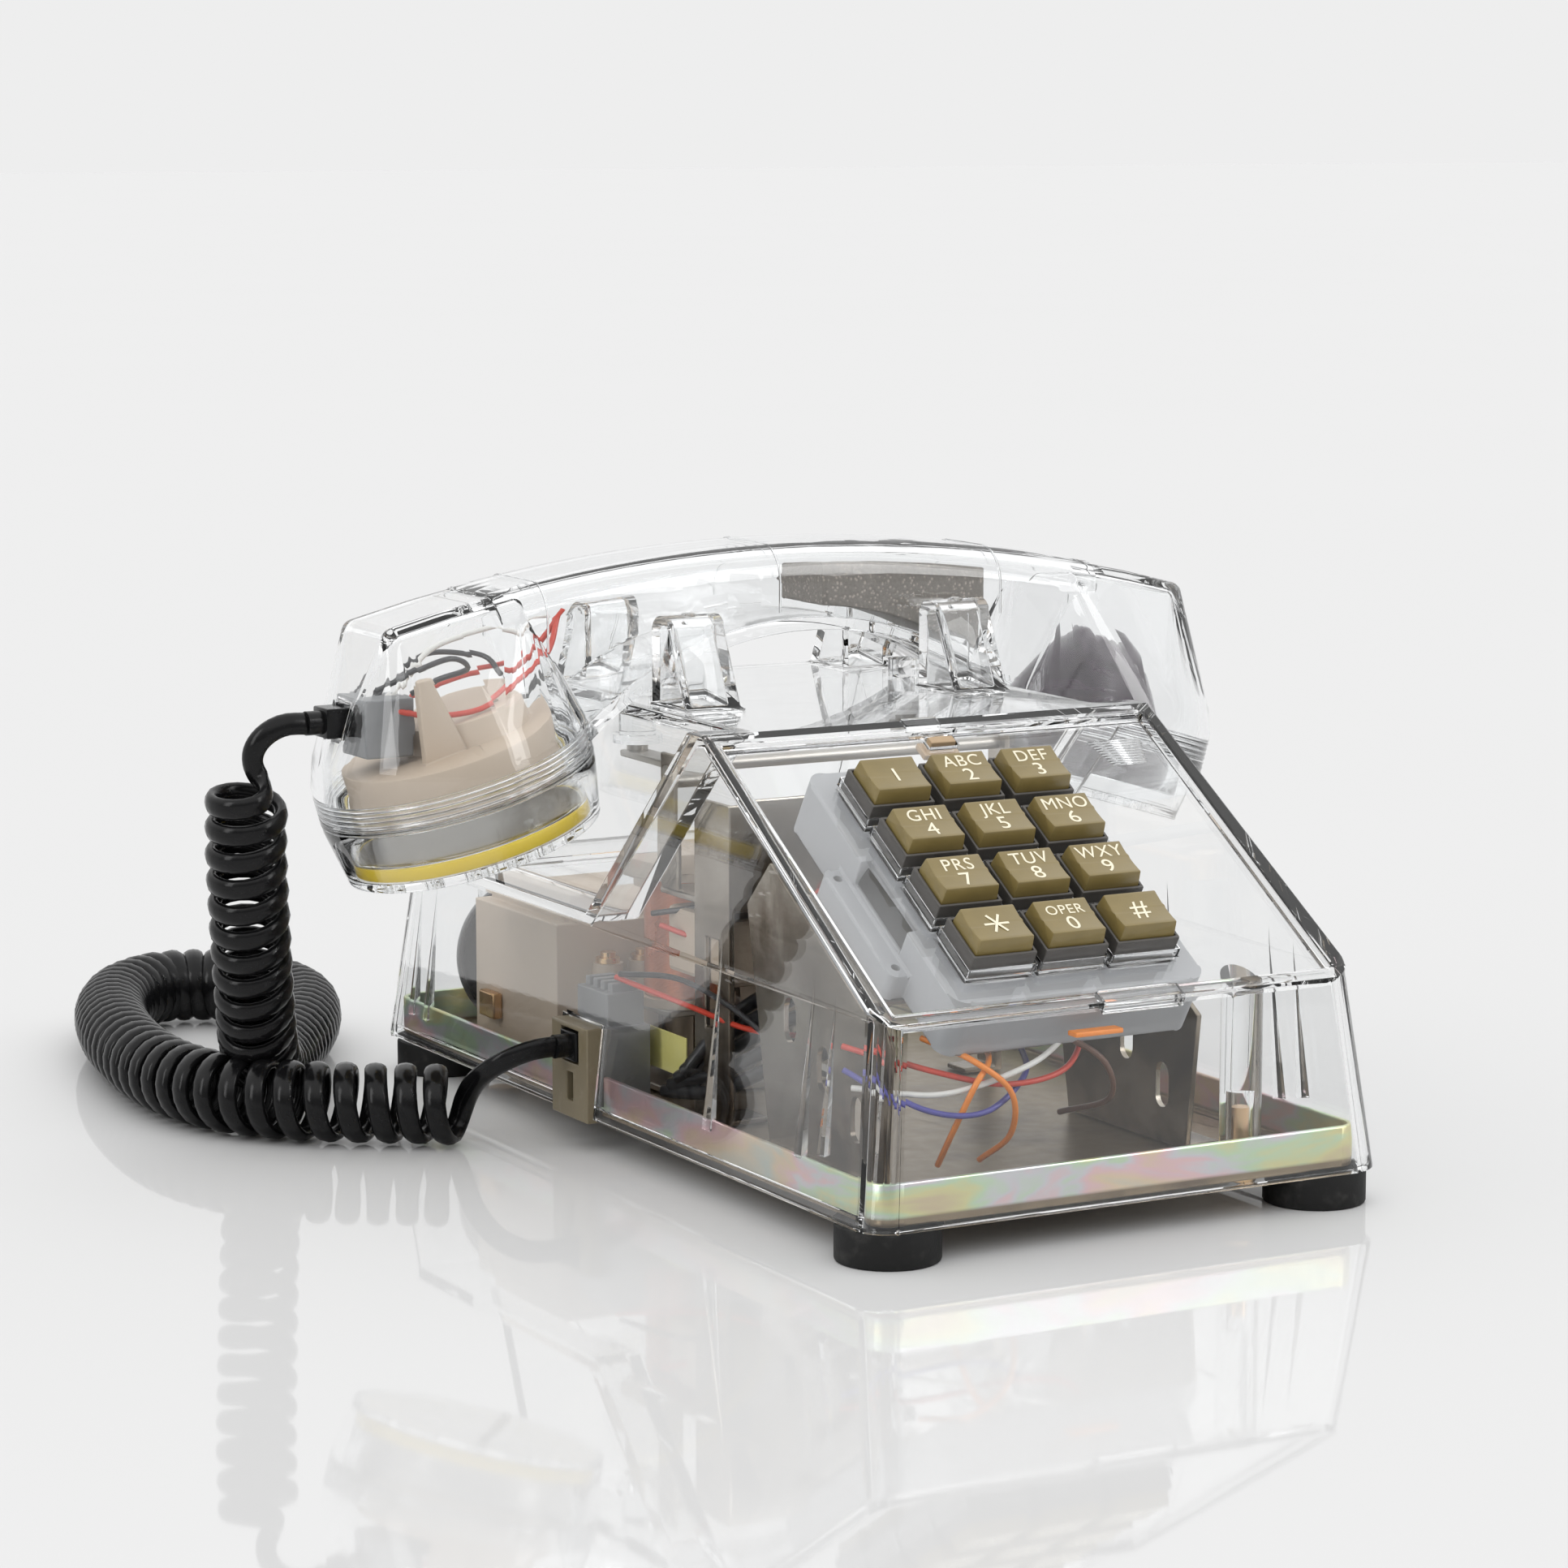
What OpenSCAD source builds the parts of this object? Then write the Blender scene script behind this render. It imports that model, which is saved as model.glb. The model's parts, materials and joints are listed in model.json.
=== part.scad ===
// Push-button desk telephone with a clear shell, its handset in the cradle.
// Front faces -Y, up is +Z, the origin is on the table under the middle of the base.

/* [Housing] */
// Width of the housing across its bottom edge
base_w = 124.8; // [115:0.2:140]
// Depth of the housing along its bottom edge
base_d = 236; // [215:1:260]
// Height of the housing's bottom edge over the table
base_z = 7.7; // [6:0.1:10]
// Height where the front wall meets the sloped key face
front_top_z = 48.9; // [44:0.1:54]
// Height of the top deck
deck_z = 97.5; // [92:0.5:104]
// How far the top of the key face stands back from the front
face_run = 82.6; // [74:0.2:90]
// Inward lean of every outer wall per unit of height
wall_lean = 0.117; // [0.08:0.005:0.14]
// Lean of the upper side walls per unit of height
upper_lean = 0.03; // [0:0.01:0.06]
// Thickness of the clear shell
wall_t = 2.6; // [2:0.1:3.2]
// Corner radius of the housing seen from above
corner_r = 7; // [5:0.5:10]
// Height of the side shelves under the handset cups
shelf_z = 52; // [50:0.5:54]
// Half width of the cradle block between the cups
cradle_half_w = 45.6; // [43:0.2:47]
// Width of the rim round the key face window
rim_w = 3.4; // [3:0.2:5]

/* [Cradle] */
// Distance from the centre line to each ear's middle
ear_x = 34.3; // [32:0.1:37]
// Width of an ear
ear_w = 13.8; // [11:0.2:16]
// Height of an ear over the deck
ear_h = 20; // [16:0.5:23]
// Depth of an ear at its foot
ear_d = 17; // [15:0.5:18]
// Depth of an ear near its top
ear_top_d = 9; // [7:0.5:11]
// Radius of a hook plunger
plunger_r = 4.2; // [3.5:0.1:5]
// Rise of the hook plungers when the handset is lifted
plunger_travel = 5; // [3:0.5:5]

/* [Handset] */
// Overall length of the handset
handset_l = 226.4; // [216:0.2:236]
// Middle of the handset behind the base's middle
handset_y = 33.4; // [32:0.2:35]
// Height of the handle's top at its middle
handle_top_z = 131; // [129:0.2:135]
// Height of the handle's underside at its middle
handle_low_z = 111.5; // [110:0.1:113]
// Width of the handle
handle_w = 32; // [28:0.5:33]
// Radius of the arc along the handle's top
handle_top_arc = 384; // [340:2:430]
// Radius of the arc along the handle's underside
handle_low_arc = 82; // [76:1:90]
// Thickness of the handset's shell
handset_wall = 2.6; // [2:0.1:3]
// Tilt of the cups from level
cup_tilt = 16.5; // [14:0.5:18]
// Outer radius of a cup
cup_r = 31.2; // [29:0.1:32]
// How much narrower a cap's face is than its rim
cap_draft = 2.1; // [1:0.1:4]
// Height of a screw cap
cap_h = 15.5; // [13:0.5:17]

/* [Keys] */
// Width of a key at its foot
key_w = 13.4; // [11:0.1:16.2]
// Length of a key at its foot along the slope
key_l = 10.8; // [9:0.1:13]
// Gap between key columns
key_gap_x = 3.9; // [3.2:0.1:5]
// Gap between key rows along the slope
key_gap_s = 5.2; // [4:0.1:6]
// Height of a key top over the key face
key_top_h = 7.4; // [6.4:0.1:8.5]
// Travel of a key
key_travel = 2.8; // [2:0.1:3]
// Offset of the keypad from the centre line
pad_x = -5.6; // [-8:0.1:0]
// Distance of the first key row from the top of the slope
first_row_s = 24.2; // [22:0.1:26]

/* [Base] */
// Thickness of the base pan's sheet
pan_t = 1.2; // [0.8:0.1:1.6]
// Height of the base pan's upturned flange
pan_flange_h = 9; // [6:0.5:12]
// Radius of a rubber foot
foot_r = 10.9; // [9:0.1:12]
// Radius of the screws that hold the housing down
screw_r = 1.9; // [1.5:0.1:2.2]

/* [Cord] */
// Diameter of the cord
cord_d = 3.9; // [3.6:0.1:4.2]
// Outer diameter of the curly part
curl_d = 18.4; // [17:0.2:20]

/* [Hidden] */
$fn = 64;
hull_fn = 32;
lean_fn = 32;
eps = 0.01;
// Clearance between fixed neighbours, and the radial running fit of a moving one
fix_gap = 0.3;
run_gap = 0.08;
key_gap = 0.2;
// How far the rounded corners' block stands clear of the flat walls
corner_ease = 0.03;
face_angle = atan2(deck_z - front_top_z, face_run - wall_lean * (front_top_z - base_z));
front_top_y = -base_d / 2 + wall_lean * (front_top_z - base_z);
face_top_y = -base_d / 2 + face_run;
face_len = norm([face_top_y - front_top_y, deck_z - front_top_z]);
shelf_back_y = base_d / 2 - wall_lean * (shelf_z - base_z);
block_back_y = handset_y + 37;
block_foot_y = block_back_y + 20;
side_top_x = base_w / 2 - wall_lean * (front_top_z - base_z);
face_half_w = side_top_x - upper_lean * (deck_z - front_top_z) / 2;
key_pitch_x = key_w + key_gap_x;
key_pitch_s = key_l + key_gap_s;
window_w = 2 * (face_half_w - rim_w) - 1;
window_l = face_len - 2 * rim_w;
plate_t = 2.4;
plate_h = -1.4;
rim_h = 2.1;
collar_w = key_w + 1.8;
collar_l = key_l + 1.8;
collar_h = 3.4;
slot_w = collar_w + 2 * fix_gap;
slot_l = collar_l + 2 * fix_gap;
plate_rim_t = 0.45;
frame_top_h = plate_h - plate_t - fix_gap;
frame_t = 2;
collar_plate_top = frame_top_h - frame_t - fix_gap;
collar_plate_t = 1.4;
flange_top_h = collar_plate_top - collar_plate_t - fix_gap;
flange_t = 1;
dome_top_h = flange_top_h - flange_t - key_travel - 0.4;
dome_t = 1;
board_top_h = dome_top_h - dome_t - fix_gap;
board_t = 1.6;
back_top_h = board_top_h - board_t - fix_gap;
back_t = 1.2;
frame_side = 6.4;
frame_w = 2 * key_pitch_x + collar_w + 2 * frame_side - 1.6;
frame_l = 3 * key_pitch_s + collar_l + 2 * frame_side;
frame_mid_s = first_row_s + 1.5 * key_pitch_s;
// Lugs at the frame's sides, screwed to the brackets
lug_s = frame_mid_s + 3;
lug_l = 34;
lug_x = frame_w / 2 + 2;
lug_screw_pitch = 28;
lug_screw_r = 0.9;
frame_low_h = back_top_h - back_t - 0.6;
// Base pan, held inside the walls at the height of its flange
pan_z = base_z + 0.5;
pan_inset = wall_t + 0.5 + wall_lean * (pan_z + pan_flange_h - base_z);
pan_w = base_w - 2 * pan_inset;
pan_d = base_d - 2 * pan_inset;
pan_r = corner_r - 2;
floor_z = pan_z + pan_t;
foot_x = base_w / 2 - 10.3;
foot_front_y = -base_d / 2 + 11.4;
foot_back_y = base_d / 2 - 13.5;
post_x = 33;
post_y = -base_d / 2 + 12.5;
rear_post_x = 36;
rear_post_y = base_d / 2 - 13.5;
post_r = 4.4;
screw_l = 16;
screw_head_r = 3.6;
rivet_r = 2;
// Jack slot in the left wall and line jack slot in the rear wall
jack_y = 14;
jack_w = 17.6;
jack_top_z = 28;
jack_block_z = 37;
line_x = -20;
port_mid_z = jack_top_z - 4.9;
port_gap = 0.25;
jack_out = 0.8;
// Handset
cup_tip = handset_l / 2;
cap_z = 66.6;
cap_x = cup_tip - cup_r - 5.2;
cap_face_r = cup_r - cap_draft;
neck_r = cup_r - 3.6;
cup_in_r = neck_r - 2 - fix_gap;
neck_low = 5.5;
top_centre_z = handle_top_z - handle_top_arc;
shoulder_x = cup_tip - 12.7;
shoulder_r = 3;
low_centre_z = handle_low_z - handle_low_arc;
handle_half_l = 78;
plug_z = 96;
plug_w = 7.6;
plug_h = 6.6;
plug_out = 3.4;
plug_x = -(cup_tip + 0.2);
socket_l = 11;
socket_x = -(cup_tip - 8.2);
jack_plug_x = -(base_w / 2 + 1.2);
ridge_foot_y = handset_y - 16.3;
// Hook switch, inside the cradle block
bail_y = handset_y - 29.4;
bail_z = deck_z - wall_t - plunger_travel - 5.9;
bail_r = 1.5;
hook_half_w = cradle_half_w - wall_t - 1;
hook_front_y = face_top_y + 11.4;
hook_plate_z = 56.6;
hook_top_z = bail_z - 4;
plunger_low_z = bail_z + 2.6;
plunger_seat = low_centre_z + sqrt(handle_low_arc * handle_low_arc - pow(ear_x + plunger_r, 2));
plunger_top_z = plunger_seat - 0.4;
// Ringer
gong_r = 18;
gong_y = base_d / 2 - 18;
gong_z = floor_z + gong_r + 2.2;
gong_x = gong_r + 4.6;
left_gong_x = -36;
striker_x = left_gong_x + gong_x;
gong_deep = 9.6;
gong_t = 1.2;
gong_screw_r = 1.6;
clapper_y = handset_y - 11.4;
clapper_z = 44;
clapper_r = 0.8;
clapper_pin_r = 1.2;
ball_y = gong_y - 5;
ball_z = gong_z + 3;
ball_r = 2.6;
coil_x = -29;
coil_y = handset_y - 13.4;
coil_low_z = 28.7;
coil_l = 31;
coil_flange_r = 11;
core_r = 5;
core_pin_r = 3;
wheel_x = 30;
wheel_y = gong_y - 40;
wheel_r = 12;
wheel_t = 3.6;
wheel_z = 18;
axle_r = 2;
// Network block, from behind the coil to before the rear screw post
block_left = -51;
block_right = -4;
block_front_y = coil_y + 21.5;
block_rear_y = base_d / 2 - 33.5;
block_top_z = 44.6;
terminal_h = 26;
terminal_pitch = 9;
seat_z = floor_z + fix_gap;

// Route of the straight lead at the handset
upper_lead = [[-116.9, 33.4, 96], [-118.4, 33.4, 96], [-122.6, 33.5, 96.7], [-127, 34, 96],
  [-130, 34.4, 93.8], [-132, 34.8, 90.4], [-133, 35.2, 86.5]];
// Middle line of the curly part, from the handset's lead round to the base's lead
curl_route = [[-130, 36, 86], [-129, 38, 78], [-128, 41, 68], [-126, 45, 56], [-123.5, 50, 44],
  [-120.5, 56, 32], [-116.5, 64, 21], [-111, 74, 13], [-103, 87, 9.8], [-94, 102, 9.4],
  [-84, 118, 9.4], [-75, 135, 9.4], [-69, 152, 9.4], [-69, 169, 9.4], [-76, 183, 9.4],
  [-90, 189, 9.4], [-103, 181, 9.4], [-112, 167, 9.4], [-118.5, 150, 9.4], [-123.5, 132, 9.4],
  [-127, 114, 9.4], [-129, 96, 9.4], [-128.5, 80, 9.4], [-124.5, 64, 9.4], [-116, 51, 9.4],
  [-104.5, 41, 9.4], [-92.5, 33, 9.4], [-82, 25, 9.4]];
// Route of the straight lead at the base
lower_lead = [[-86, 17.6, 12], [-85.4, 16.4, 15.6], [-83.6, 15.4, 19], [-80.4, 14.6, 21.6],
  [-76.4, 14.2, 22.9], [-71.6, 14, 23.1], [-67.1, 14, 23.1]];

// ---------- helpers ----------
function unit(v) = v / norm(v);

// Moves every edge of an anticlockwise outline inwards by d
function inset(p, d) = [for (i = [0 : len(p) - 1])
  let (n = len(p), u = unit(p[i] - p[(i + n - 1) % n]), v = unit(p[(i + 1) % n] - p[i]),
       a = [-u.y, u.x], b = [-v.y, v.x])
  p[i] + (a + b) * d / (1 + a * b)];

// Extrudes an outline drawn in the YZ plane along X, from x0 to x1
module along_x(x0, x1) {
  translate([x0, 0, 0]) rotate([90, 0, 90]) linear_extrude(x1 - x0) children();
}

// Extrudes an outline drawn in the XZ plane along Y, from y0 to y1
module along_y(y0, y1) {
  translate([0, y1, 0]) rotate([90, 0, 0]) linear_extrude(y1 - y0) children();
}

// A box from one corner to the other
module slab(low, high) {
  translate(low) cube(high - low);
}

module rounded_rect(w, d, r, steps = 64) {
  translate([-w / 2 + r, -d / 2]) square([w - 2 * r, d]);
  translate([-w / 2, -d / 2 + r]) square([w, d - 2 * r]);
  for (x = [-1, 1], y = [-1, 1]) translate([x * (w / 2 - r), y * (d / 2 - r)])
    circle(r, $fn = steps);
}

module both_sides() {
  children();
  mirror([1, 0, 0]) children();
}

// Frame of the sloped key face: X across, Y up the slope, Z out of it
module on_face(x = 0, s = 0, h = 0) {
  translate([0, face_top_y, deck_z]) rotate([face_angle, 0, 0]) translate([x, -s, h]) children();
}

// Frame of a cup: the cap's face at the origin, Z up the cup's axis
module on_cup(side) {
  translate([side * cap_x, handset_y, cap_z]) rotate([0, side * cup_tilt, 0]) children();
}

// A round tube through points, with flat ends
module sweep(route, d, sides = 8) {
  n = len(route);
  function heading(i) = unit(route[min(i + 1, n - 1)] - route[max(i - 1, 0)]);
  function side_of(t) = unit(cross(t, abs(t.z) > 0.9 ? [0, 1, 0] : [0, 0, 1]));
  function carry(i, w) = i == n ? [] : let (t = heading(i), u = unit(w - t * (w * t)))
    concat([u], carry(i + 1, u));
  sides_of = carry(0, side_of(heading(0)));
  ring = [for (i = [0 : n - 1], k = [0 : sides - 1])
    let (t = heading(i), u = sides_of[i], v = cross(t, u), a = 360 * (k + 0.5) / sides)
    route[i] + (u * cos(a) + v * sin(a)) * d / 2];
  walls = [for (i = [0 : n - 2], k = [0 : sides - 1])
    [i * sides + k, (i + 1) * sides + k, (i + 1) * sides + (k + 1) % sides, i * sides + (k + 1) % sides]];
  first = [for (k = [0 : sides - 1]) k];
  last = [for (k = [0 : sides - 1]) n * sides - 1 - k];
  polyhedron(ring, concat([first], walls, [last]));
}

// Points of a circular arc round a centre
function arc(c, r, a0, a1, n) = [for (i = [0 : n]) c + r * [cos(a0 + (a1 - a0) * i / n),
  sin(a0 + (a1 - a0) * i / n)]];

// ---------- housing ----------
side_profile = [[-base_d / 2, base_z], [base_d / 2, base_z], [shelf_back_y, shelf_z],
  [block_foot_y, shelf_z], [block_back_y, deck_z], [face_top_y, deck_z], [front_top_y, front_top_z]];
front_profile = [[-base_w / 2, base_z], [base_w / 2, base_z], [side_top_x, front_top_z],
  [side_top_x - upper_lean * (deck_z - front_top_z), deck_z],
  [-side_top_x + upper_lean * (deck_z - front_top_z), deck_z], [-side_top_x, front_top_z]];

// Space over a side shelf: behind the side ridge and outside the cradle block
module side_scoop(grow) {
  ridge_top_y = ridge_foot_y - (deck_z - shelf_z);
  reach = grow * tan(22.5);
  along_x(cradle_half_w - grow, base_w)
    polygon([[ridge_foot_y - reach, shelf_z - grow], [base_d, shelf_z - grow], [base_d, deck_z + 20],
      [ridge_top_y - 20 - reach - grow, deck_z + 20 - grow]]);
}

// Upright block whose rounded corners lean in with the walls
module leaning_block(in) {
  w = base_w - 2 * in + 2 * corner_ease;
  d = base_d - 2 * in + 2 * corner_ease;
  lean_h = front_top_z - base_z;
  shrink = [1 - 2 * wall_lean * lean_h / w, 1 - 2 * wall_lean * lean_h / d];
  translate([0, 0, base_z]) linear_extrude(lean_h, scale = shrink, slices = 1)
    rounded_rect(w, d, corner_r - in, lean_fn);
  translate([0, 0, front_top_z - eps]) linear_extrude(deck_z) scale(shrink)
    rounded_rect(w, d, corner_r - in, lean_fn);
}

// The housing's outer form, drawn in by the given amount on every wall
module housing_form(in) {
  difference() {
    intersection() {
      along_x(-base_w, base_w) polygon(inset(side_profile, in));
      along_y(-base_d, base_d) polygon(inset(front_profile, in));
      leaning_block(in);
    }
    both_sides() side_scoop(in);
  }
}

// The open bottom of the housing, inside its lower edge
module housing_mouth() {
  linear_extrude(base_z + wall_t + eps) rounded_rect(base_w - 2 * wall_t - 0.6, base_d - 2 * wall_t - 0.6,
    corner_r - wall_t);
}

// Profile of an ear in the YZ plane, with its foot on the deck and its back to the handle
module ear_outline(in) {
  foot = ear_d - 2 * in;
  top = ear_top_d - 2 * in;
  r = top / 2;
  translate([in, 0]) polygon(concat([[foot, -1], [foot, ear_h - in - r]],
    arc([foot - r, ear_h - in - r], r, 0, 150, 12), [[0, -1]]));
}

module ear() {
  back_y = handset_y - handle_w / 2 - 1.2;
  translate([0, back_y - ear_d, deck_z]) difference() {
    along_x(ear_x - ear_w / 2, ear_x + ear_w / 2) ear_outline(0);
    along_x(ear_x - ear_w / 2 + 2.2, ear_x + ear_w / 2 - 2.2) ear_outline(2.2);
  }
}

module screw_post(x, y, top) {
  translate([x, y, floor_z + fix_gap]) cylinder(h = top - floor_z - fix_gap, r = post_r);
}

// Hole for a screw, from the table up into its post
module screw_hole(x, y, r) {
  translate([x, y, 0]) cylinder(h = floor_z + screw_l, r = r);
}

// Slots for the two jacks, from the table up, in the left and the rear wall
module jack_slot(gap, deep) {
  half = jack_w / 2 + gap;
  slab([-base_w / 2 - 1, jack_y - half, 0], [-base_w / 2 + deep, jack_y + half, jack_top_z + gap]);
  slab([line_x - half, base_d / 2 - deep, 0], [line_x + half, base_d / 2 + 1, jack_top_z + gap]);
}

module housing() {
  color([0.9, 0.93, 0.95, 0.3]) difference() {
    union() {
      difference() {
        housing_form(0);
        difference() {
          union() {
            housing_form(wall_t);
            housing_mouth();
          }
          screw_post(post_x, post_y, deck_z);
          both_sides() screw_post(rear_post_x, rear_post_y, shelf_z);
        }
      }
      both_sides() ear();
      translate([0, 2 * handset_y, 0]) mirror([0, 1, 0]) both_sides() ear();
    }
    // Window of the key face, hook plunger holes, screw holes and jack slots
    on_face(0, face_len / 2, -wall_t * 2) linear_extrude(wall_t * 4)
      square([window_w, window_l], center = true);
    both_sides() translate([ear_x, handset_y, deck_z - 2 * wall_t])
      cylinder(h = 4 * wall_t, r = plunger_r + run_gap);
    screw_hole(post_x, post_y, screw_r + run_gap);
    both_sides() screw_hole(rear_post_x, rear_post_y, screw_r + run_gap);
    jack_slot(fix_gap, 8);
  }
}

// Where a key stands: column from -1 to 1, row from 0 to 3
module at_key(col, row, h = 0) {
  on_face(pad_x + col * key_pitch_x, first_row_s + row * key_pitch_s, h) children();
}

module at_all_keys(h = 0) {
  for (col = [-1 : 1], row = [0 : 3]) at_key(col, row, h) children();
}

module faceplate() {
  color([0.92, 0.94, 0.96, 0.3]) difference() {
    union() {
      on_face(0, face_len / 2, plate_h - plate_t) linear_extrude(plate_t)
        square([window_w - 2 * fix_gap, window_l - 2 * fix_gap], center = true);
      at_all_keys(plate_h - eps) linear_extrude(rim_h)
        square([slot_w + 2 * plate_rim_t, slot_l + 2 * plate_rim_t], center = true);
    }
    at_all_keys(plate_h - 2 * plate_t) linear_extrude(4 * plate_t) square([slot_w, slot_l], center = true);
    on_face(0, rim_w + 2.6, plate_h - 2 * plate_t) linear_extrude(4 * plate_t) square([7, 3], center = true);
  }
}

// Small tan tab that holds the faceplate at the top
module faceplate_clip() {
  color([0.76, 0.68, 0.56]) on_face(0, rim_w + 2.6, plate_h - plate_t - 2.2) {
    linear_extrude(plate_t + 2.8) square([6.2, 2.2], center = true);
    linear_extrude(1.4) square([9, 4.4], center = true);
  }
}

// ---------- keypad ----------
module at_lug_screws(h) {
  for (x = [-1, 1], y = [-1, 1])
    on_face(pad_x + x * lug_x, lug_s + y * lug_screw_pitch / 2, h) children();
}

module keypad_frame() {
  depth = frame_top_h - frame_low_h;
  color([0.62, 0.64, 0.66, 0.8]) difference() {
    union() {
      on_face(pad_x, frame_mid_s, frame_low_h) linear_extrude(depth) rounded_rect(frame_w, frame_l, 4);
      on_face(pad_x, lug_s, frame_low_h) linear_extrude(depth - 7) rounded_rect(frame_w + 9, lug_l, 2);
    }
    on_face(pad_x, frame_mid_s, frame_low_h - eps) linear_extrude(depth - frame_t)
      rounded_rect(frame_w - 3.2, frame_l - 3.2, 2.6);
    // Stepped pockets in the left and right edges
    on_face(pad_x - frame_w / 2, lug_s, frame_top_h - 6.4) linear_extrude(8) square([5.4, 22], center = true);
    on_face(pad_x + frame_w / 2, lug_s + 6, frame_top_h - 6.4) linear_extrude(8)
      square([2.4, 5], center = true);
    at_all_keys(frame_top_h - 2 * frame_t) linear_extrude(3 * frame_t)
      square([slot_w, slot_l], center = true);
    at_lug_screws(frame_low_h - 1) cylinder(h = 8, r = lug_screw_r + run_gap);
  }
}

module key_collars() {
  color([0.25, 0.24, 0.23]) difference() {
    union() {
      on_face(pad_x, frame_mid_s, collar_plate_top - collar_plate_t) linear_extrude(collar_plate_t)
        square([2 * key_pitch_x + collar_w + 3, 3 * key_pitch_s + collar_l + 3], center = true);
      at_all_keys(collar_plate_top - eps) linear_extrude(collar_h - collar_plate_top)
        square([collar_w, collar_l], center = true);
    }
    at_all_keys(collar_plate_top - 2 * collar_plate_t) linear_extrude(30)
      square([key_w + 2 * key_gap, key_l + 2 * key_gap], center = true);
  }
}

// A key: tapered dished cap on a straight skirt, with a flange that stops it lifting out
module key(col, row) {
  taper = 0.5;
  skirt_h = collar_h + 0.2;
  dish_r = 26;
  dish_depth = 1.1;
  at_key(col, row) {
    color([0.42, 0.35, 0.18]) difference() {
      intersection() {
        along_x(-key_w / 2, key_w / 2) polygon([[-key_l / 2, flange_top_h - flange_t],
          [key_l / 2, flange_top_h - flange_t], [key_l / 2, skirt_h], [key_l / 2 - taper, key_top_h],
          [-key_l / 2 + taper, key_top_h], [-key_l / 2, skirt_h]]);
        along_y(-key_l, key_l) polygon([[-key_w / 2, -20], [key_w / 2, -20], [key_w / 2, skirt_h],
          [key_w / 2 - taper, key_top_h + 1], [-key_w / 2 + taper, key_top_h + 1], [-key_w / 2, skirt_h]]);
      }
      translate([0, 0, key_top_h + dish_r - dish_depth]) rotate([0, 90, 0])
        cylinder(h = 2 * key_w, r = dish_r, center = true);
    }
    color([0.42, 0.35, 0.18]) translate([0, 0, flange_top_h - flange_t]) linear_extrude(flange_t)
      square([key_w + 1.4, key_l + 1.4], center = true);
  }
}

module key_1() { key(-1, 0); }
module key_2() { key(0, 0); }
module key_3() { key(1, 0); }
module key_4() { key(-1, 1); }
module key_5() { key(0, 1); }
module key_6() { key(1, 1); }
module key_7() { key(-1, 2); }
module key_8() { key(0, 2); }
module key_9() { key(1, 2); }
module key_star() { key(-1, 3); }
module key_0() { key(0, 3); }
module key_hash() { key(1, 3); }

module keypad_layer(top, t, w, l) {
  on_face(pad_x, frame_mid_s, top - t) linear_extrude(t) rounded_rect(w, l, 2.4);
}

module dome_sheet() {
  color([0.5, 0.5, 0.5]) {
    keypad_layer(dome_top_h, dome_t, frame_w - 5, frame_l - 5);
  }
}

module keypad_board() {
  color([0.2, 0.36, 0.2]) keypad_layer(board_top_h, board_t, frame_w - 4.4, frame_l - 4.4);
}

module keypad_back() {
  color([0.7, 0.7, 0.7]) difference() {
    keypad_layer(back_top_h, back_t, frame_w - 4.4, frame_l - 4.4);
    for (x = [-1, 1], y = [-1, 1]) on_face(pad_x + x * 18, frame_mid_s + y * 22, back_top_h - 4)
      cylinder(h = 8, r = 2.4);
  }
}

// Perforated steel side bracket from the pan floor up to the keypad
module keypad_bracket(side) {
  x = pad_x + side * (frame_w / 2 + 6);
  y0 = front_top_y + 24;
  y1 = face_top_y - 8;
  back = face_top_y + 2;
  function under(y) = deck_z + (y - face_top_y) * tan(face_angle) - 22;
  color([0.66, 0.66, 0.64]) difference() {
    union() {
      along_x(x - 0.6, x + 0.6) polygon([[y0, seat_z], [y1, seat_z], [back, under(y1) - 10],
        [y1, under(y1)], [y0 - 4, under(y0 - 4)]]);
      slab([x - 8 * (side > 0 ? 0 : 1), y0, seat_z], [x + 8 * (side > 0 ? 1 : 0), y1, seat_z + 1.2]);
      on_face(x - side * 4.6, lug_s, frame_low_h - 1.6) linear_extrude(1.2)
        square([10.4, lug_l], center = true);
    }
    for (k = [0 : 2]) along_x(x - 2, x + 2) translate([y0 + 9 + 14 * k, seat_z + 10 + 8 * k]) {
      circle(2.4);
      translate([-2.4, 0]) square([4.8, 5]);
      translate([0, 5]) circle(2.4);
    }
    at_lug_screws(frame_low_h - 4) cylinder(h = 8, r = lug_screw_r + 0.3);
  }
}

module keypad_bracket_left() { keypad_bracket(-1); }
module keypad_bracket_right() { keypad_bracket(1); }

module keypad_screws() {
  color([0.8, 0.76, 0.6]) at_lug_screws(frame_low_h - 3.2) {
    cylinder(h = 1.5, r = 2.1 * lug_screw_r);
    cylinder(h = 7, r = lug_screw_r);
  }
}

// ---------- base ----------
module base_pan() {
  color([0.8, 0.72, 0.45]) difference() {
    translate([0, 0, pan_z]) linear_extrude(pan_flange_h) rounded_rect(pan_w, pan_d, pan_r);
    translate([0, 0, floor_z]) linear_extrude(pan_flange_h)
      rounded_rect(pan_w - 2 * pan_t, pan_d - 2 * pan_t, pan_r - pan_t);
    // Slots for the two jacks, the housing screws, the feet and the volume wheel
    jack_slot(1, pan_inset + 12);
    screw_hole(post_x, post_y, screw_r + 0.4);
    both_sides() screw_hole(rear_post_x, rear_post_y, screw_r + 0.4);
    at_feet() cylinder(h = 20, r = rivet_r + run_gap);
    slab([wheel_x - wheel_t / 2 - 0.8, wheel_y - wheel_r - 1, 0],
      [wheel_x + wheel_t / 2 + 0.8, wheel_y + wheel_r + 1, floor_z + 1]);
    for (k = [0 : 2]) translate([8 + 9 * k, -base_d / 2 + 30, 0]) cylinder(h = 20, r = 1.4);
  }
}

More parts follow.
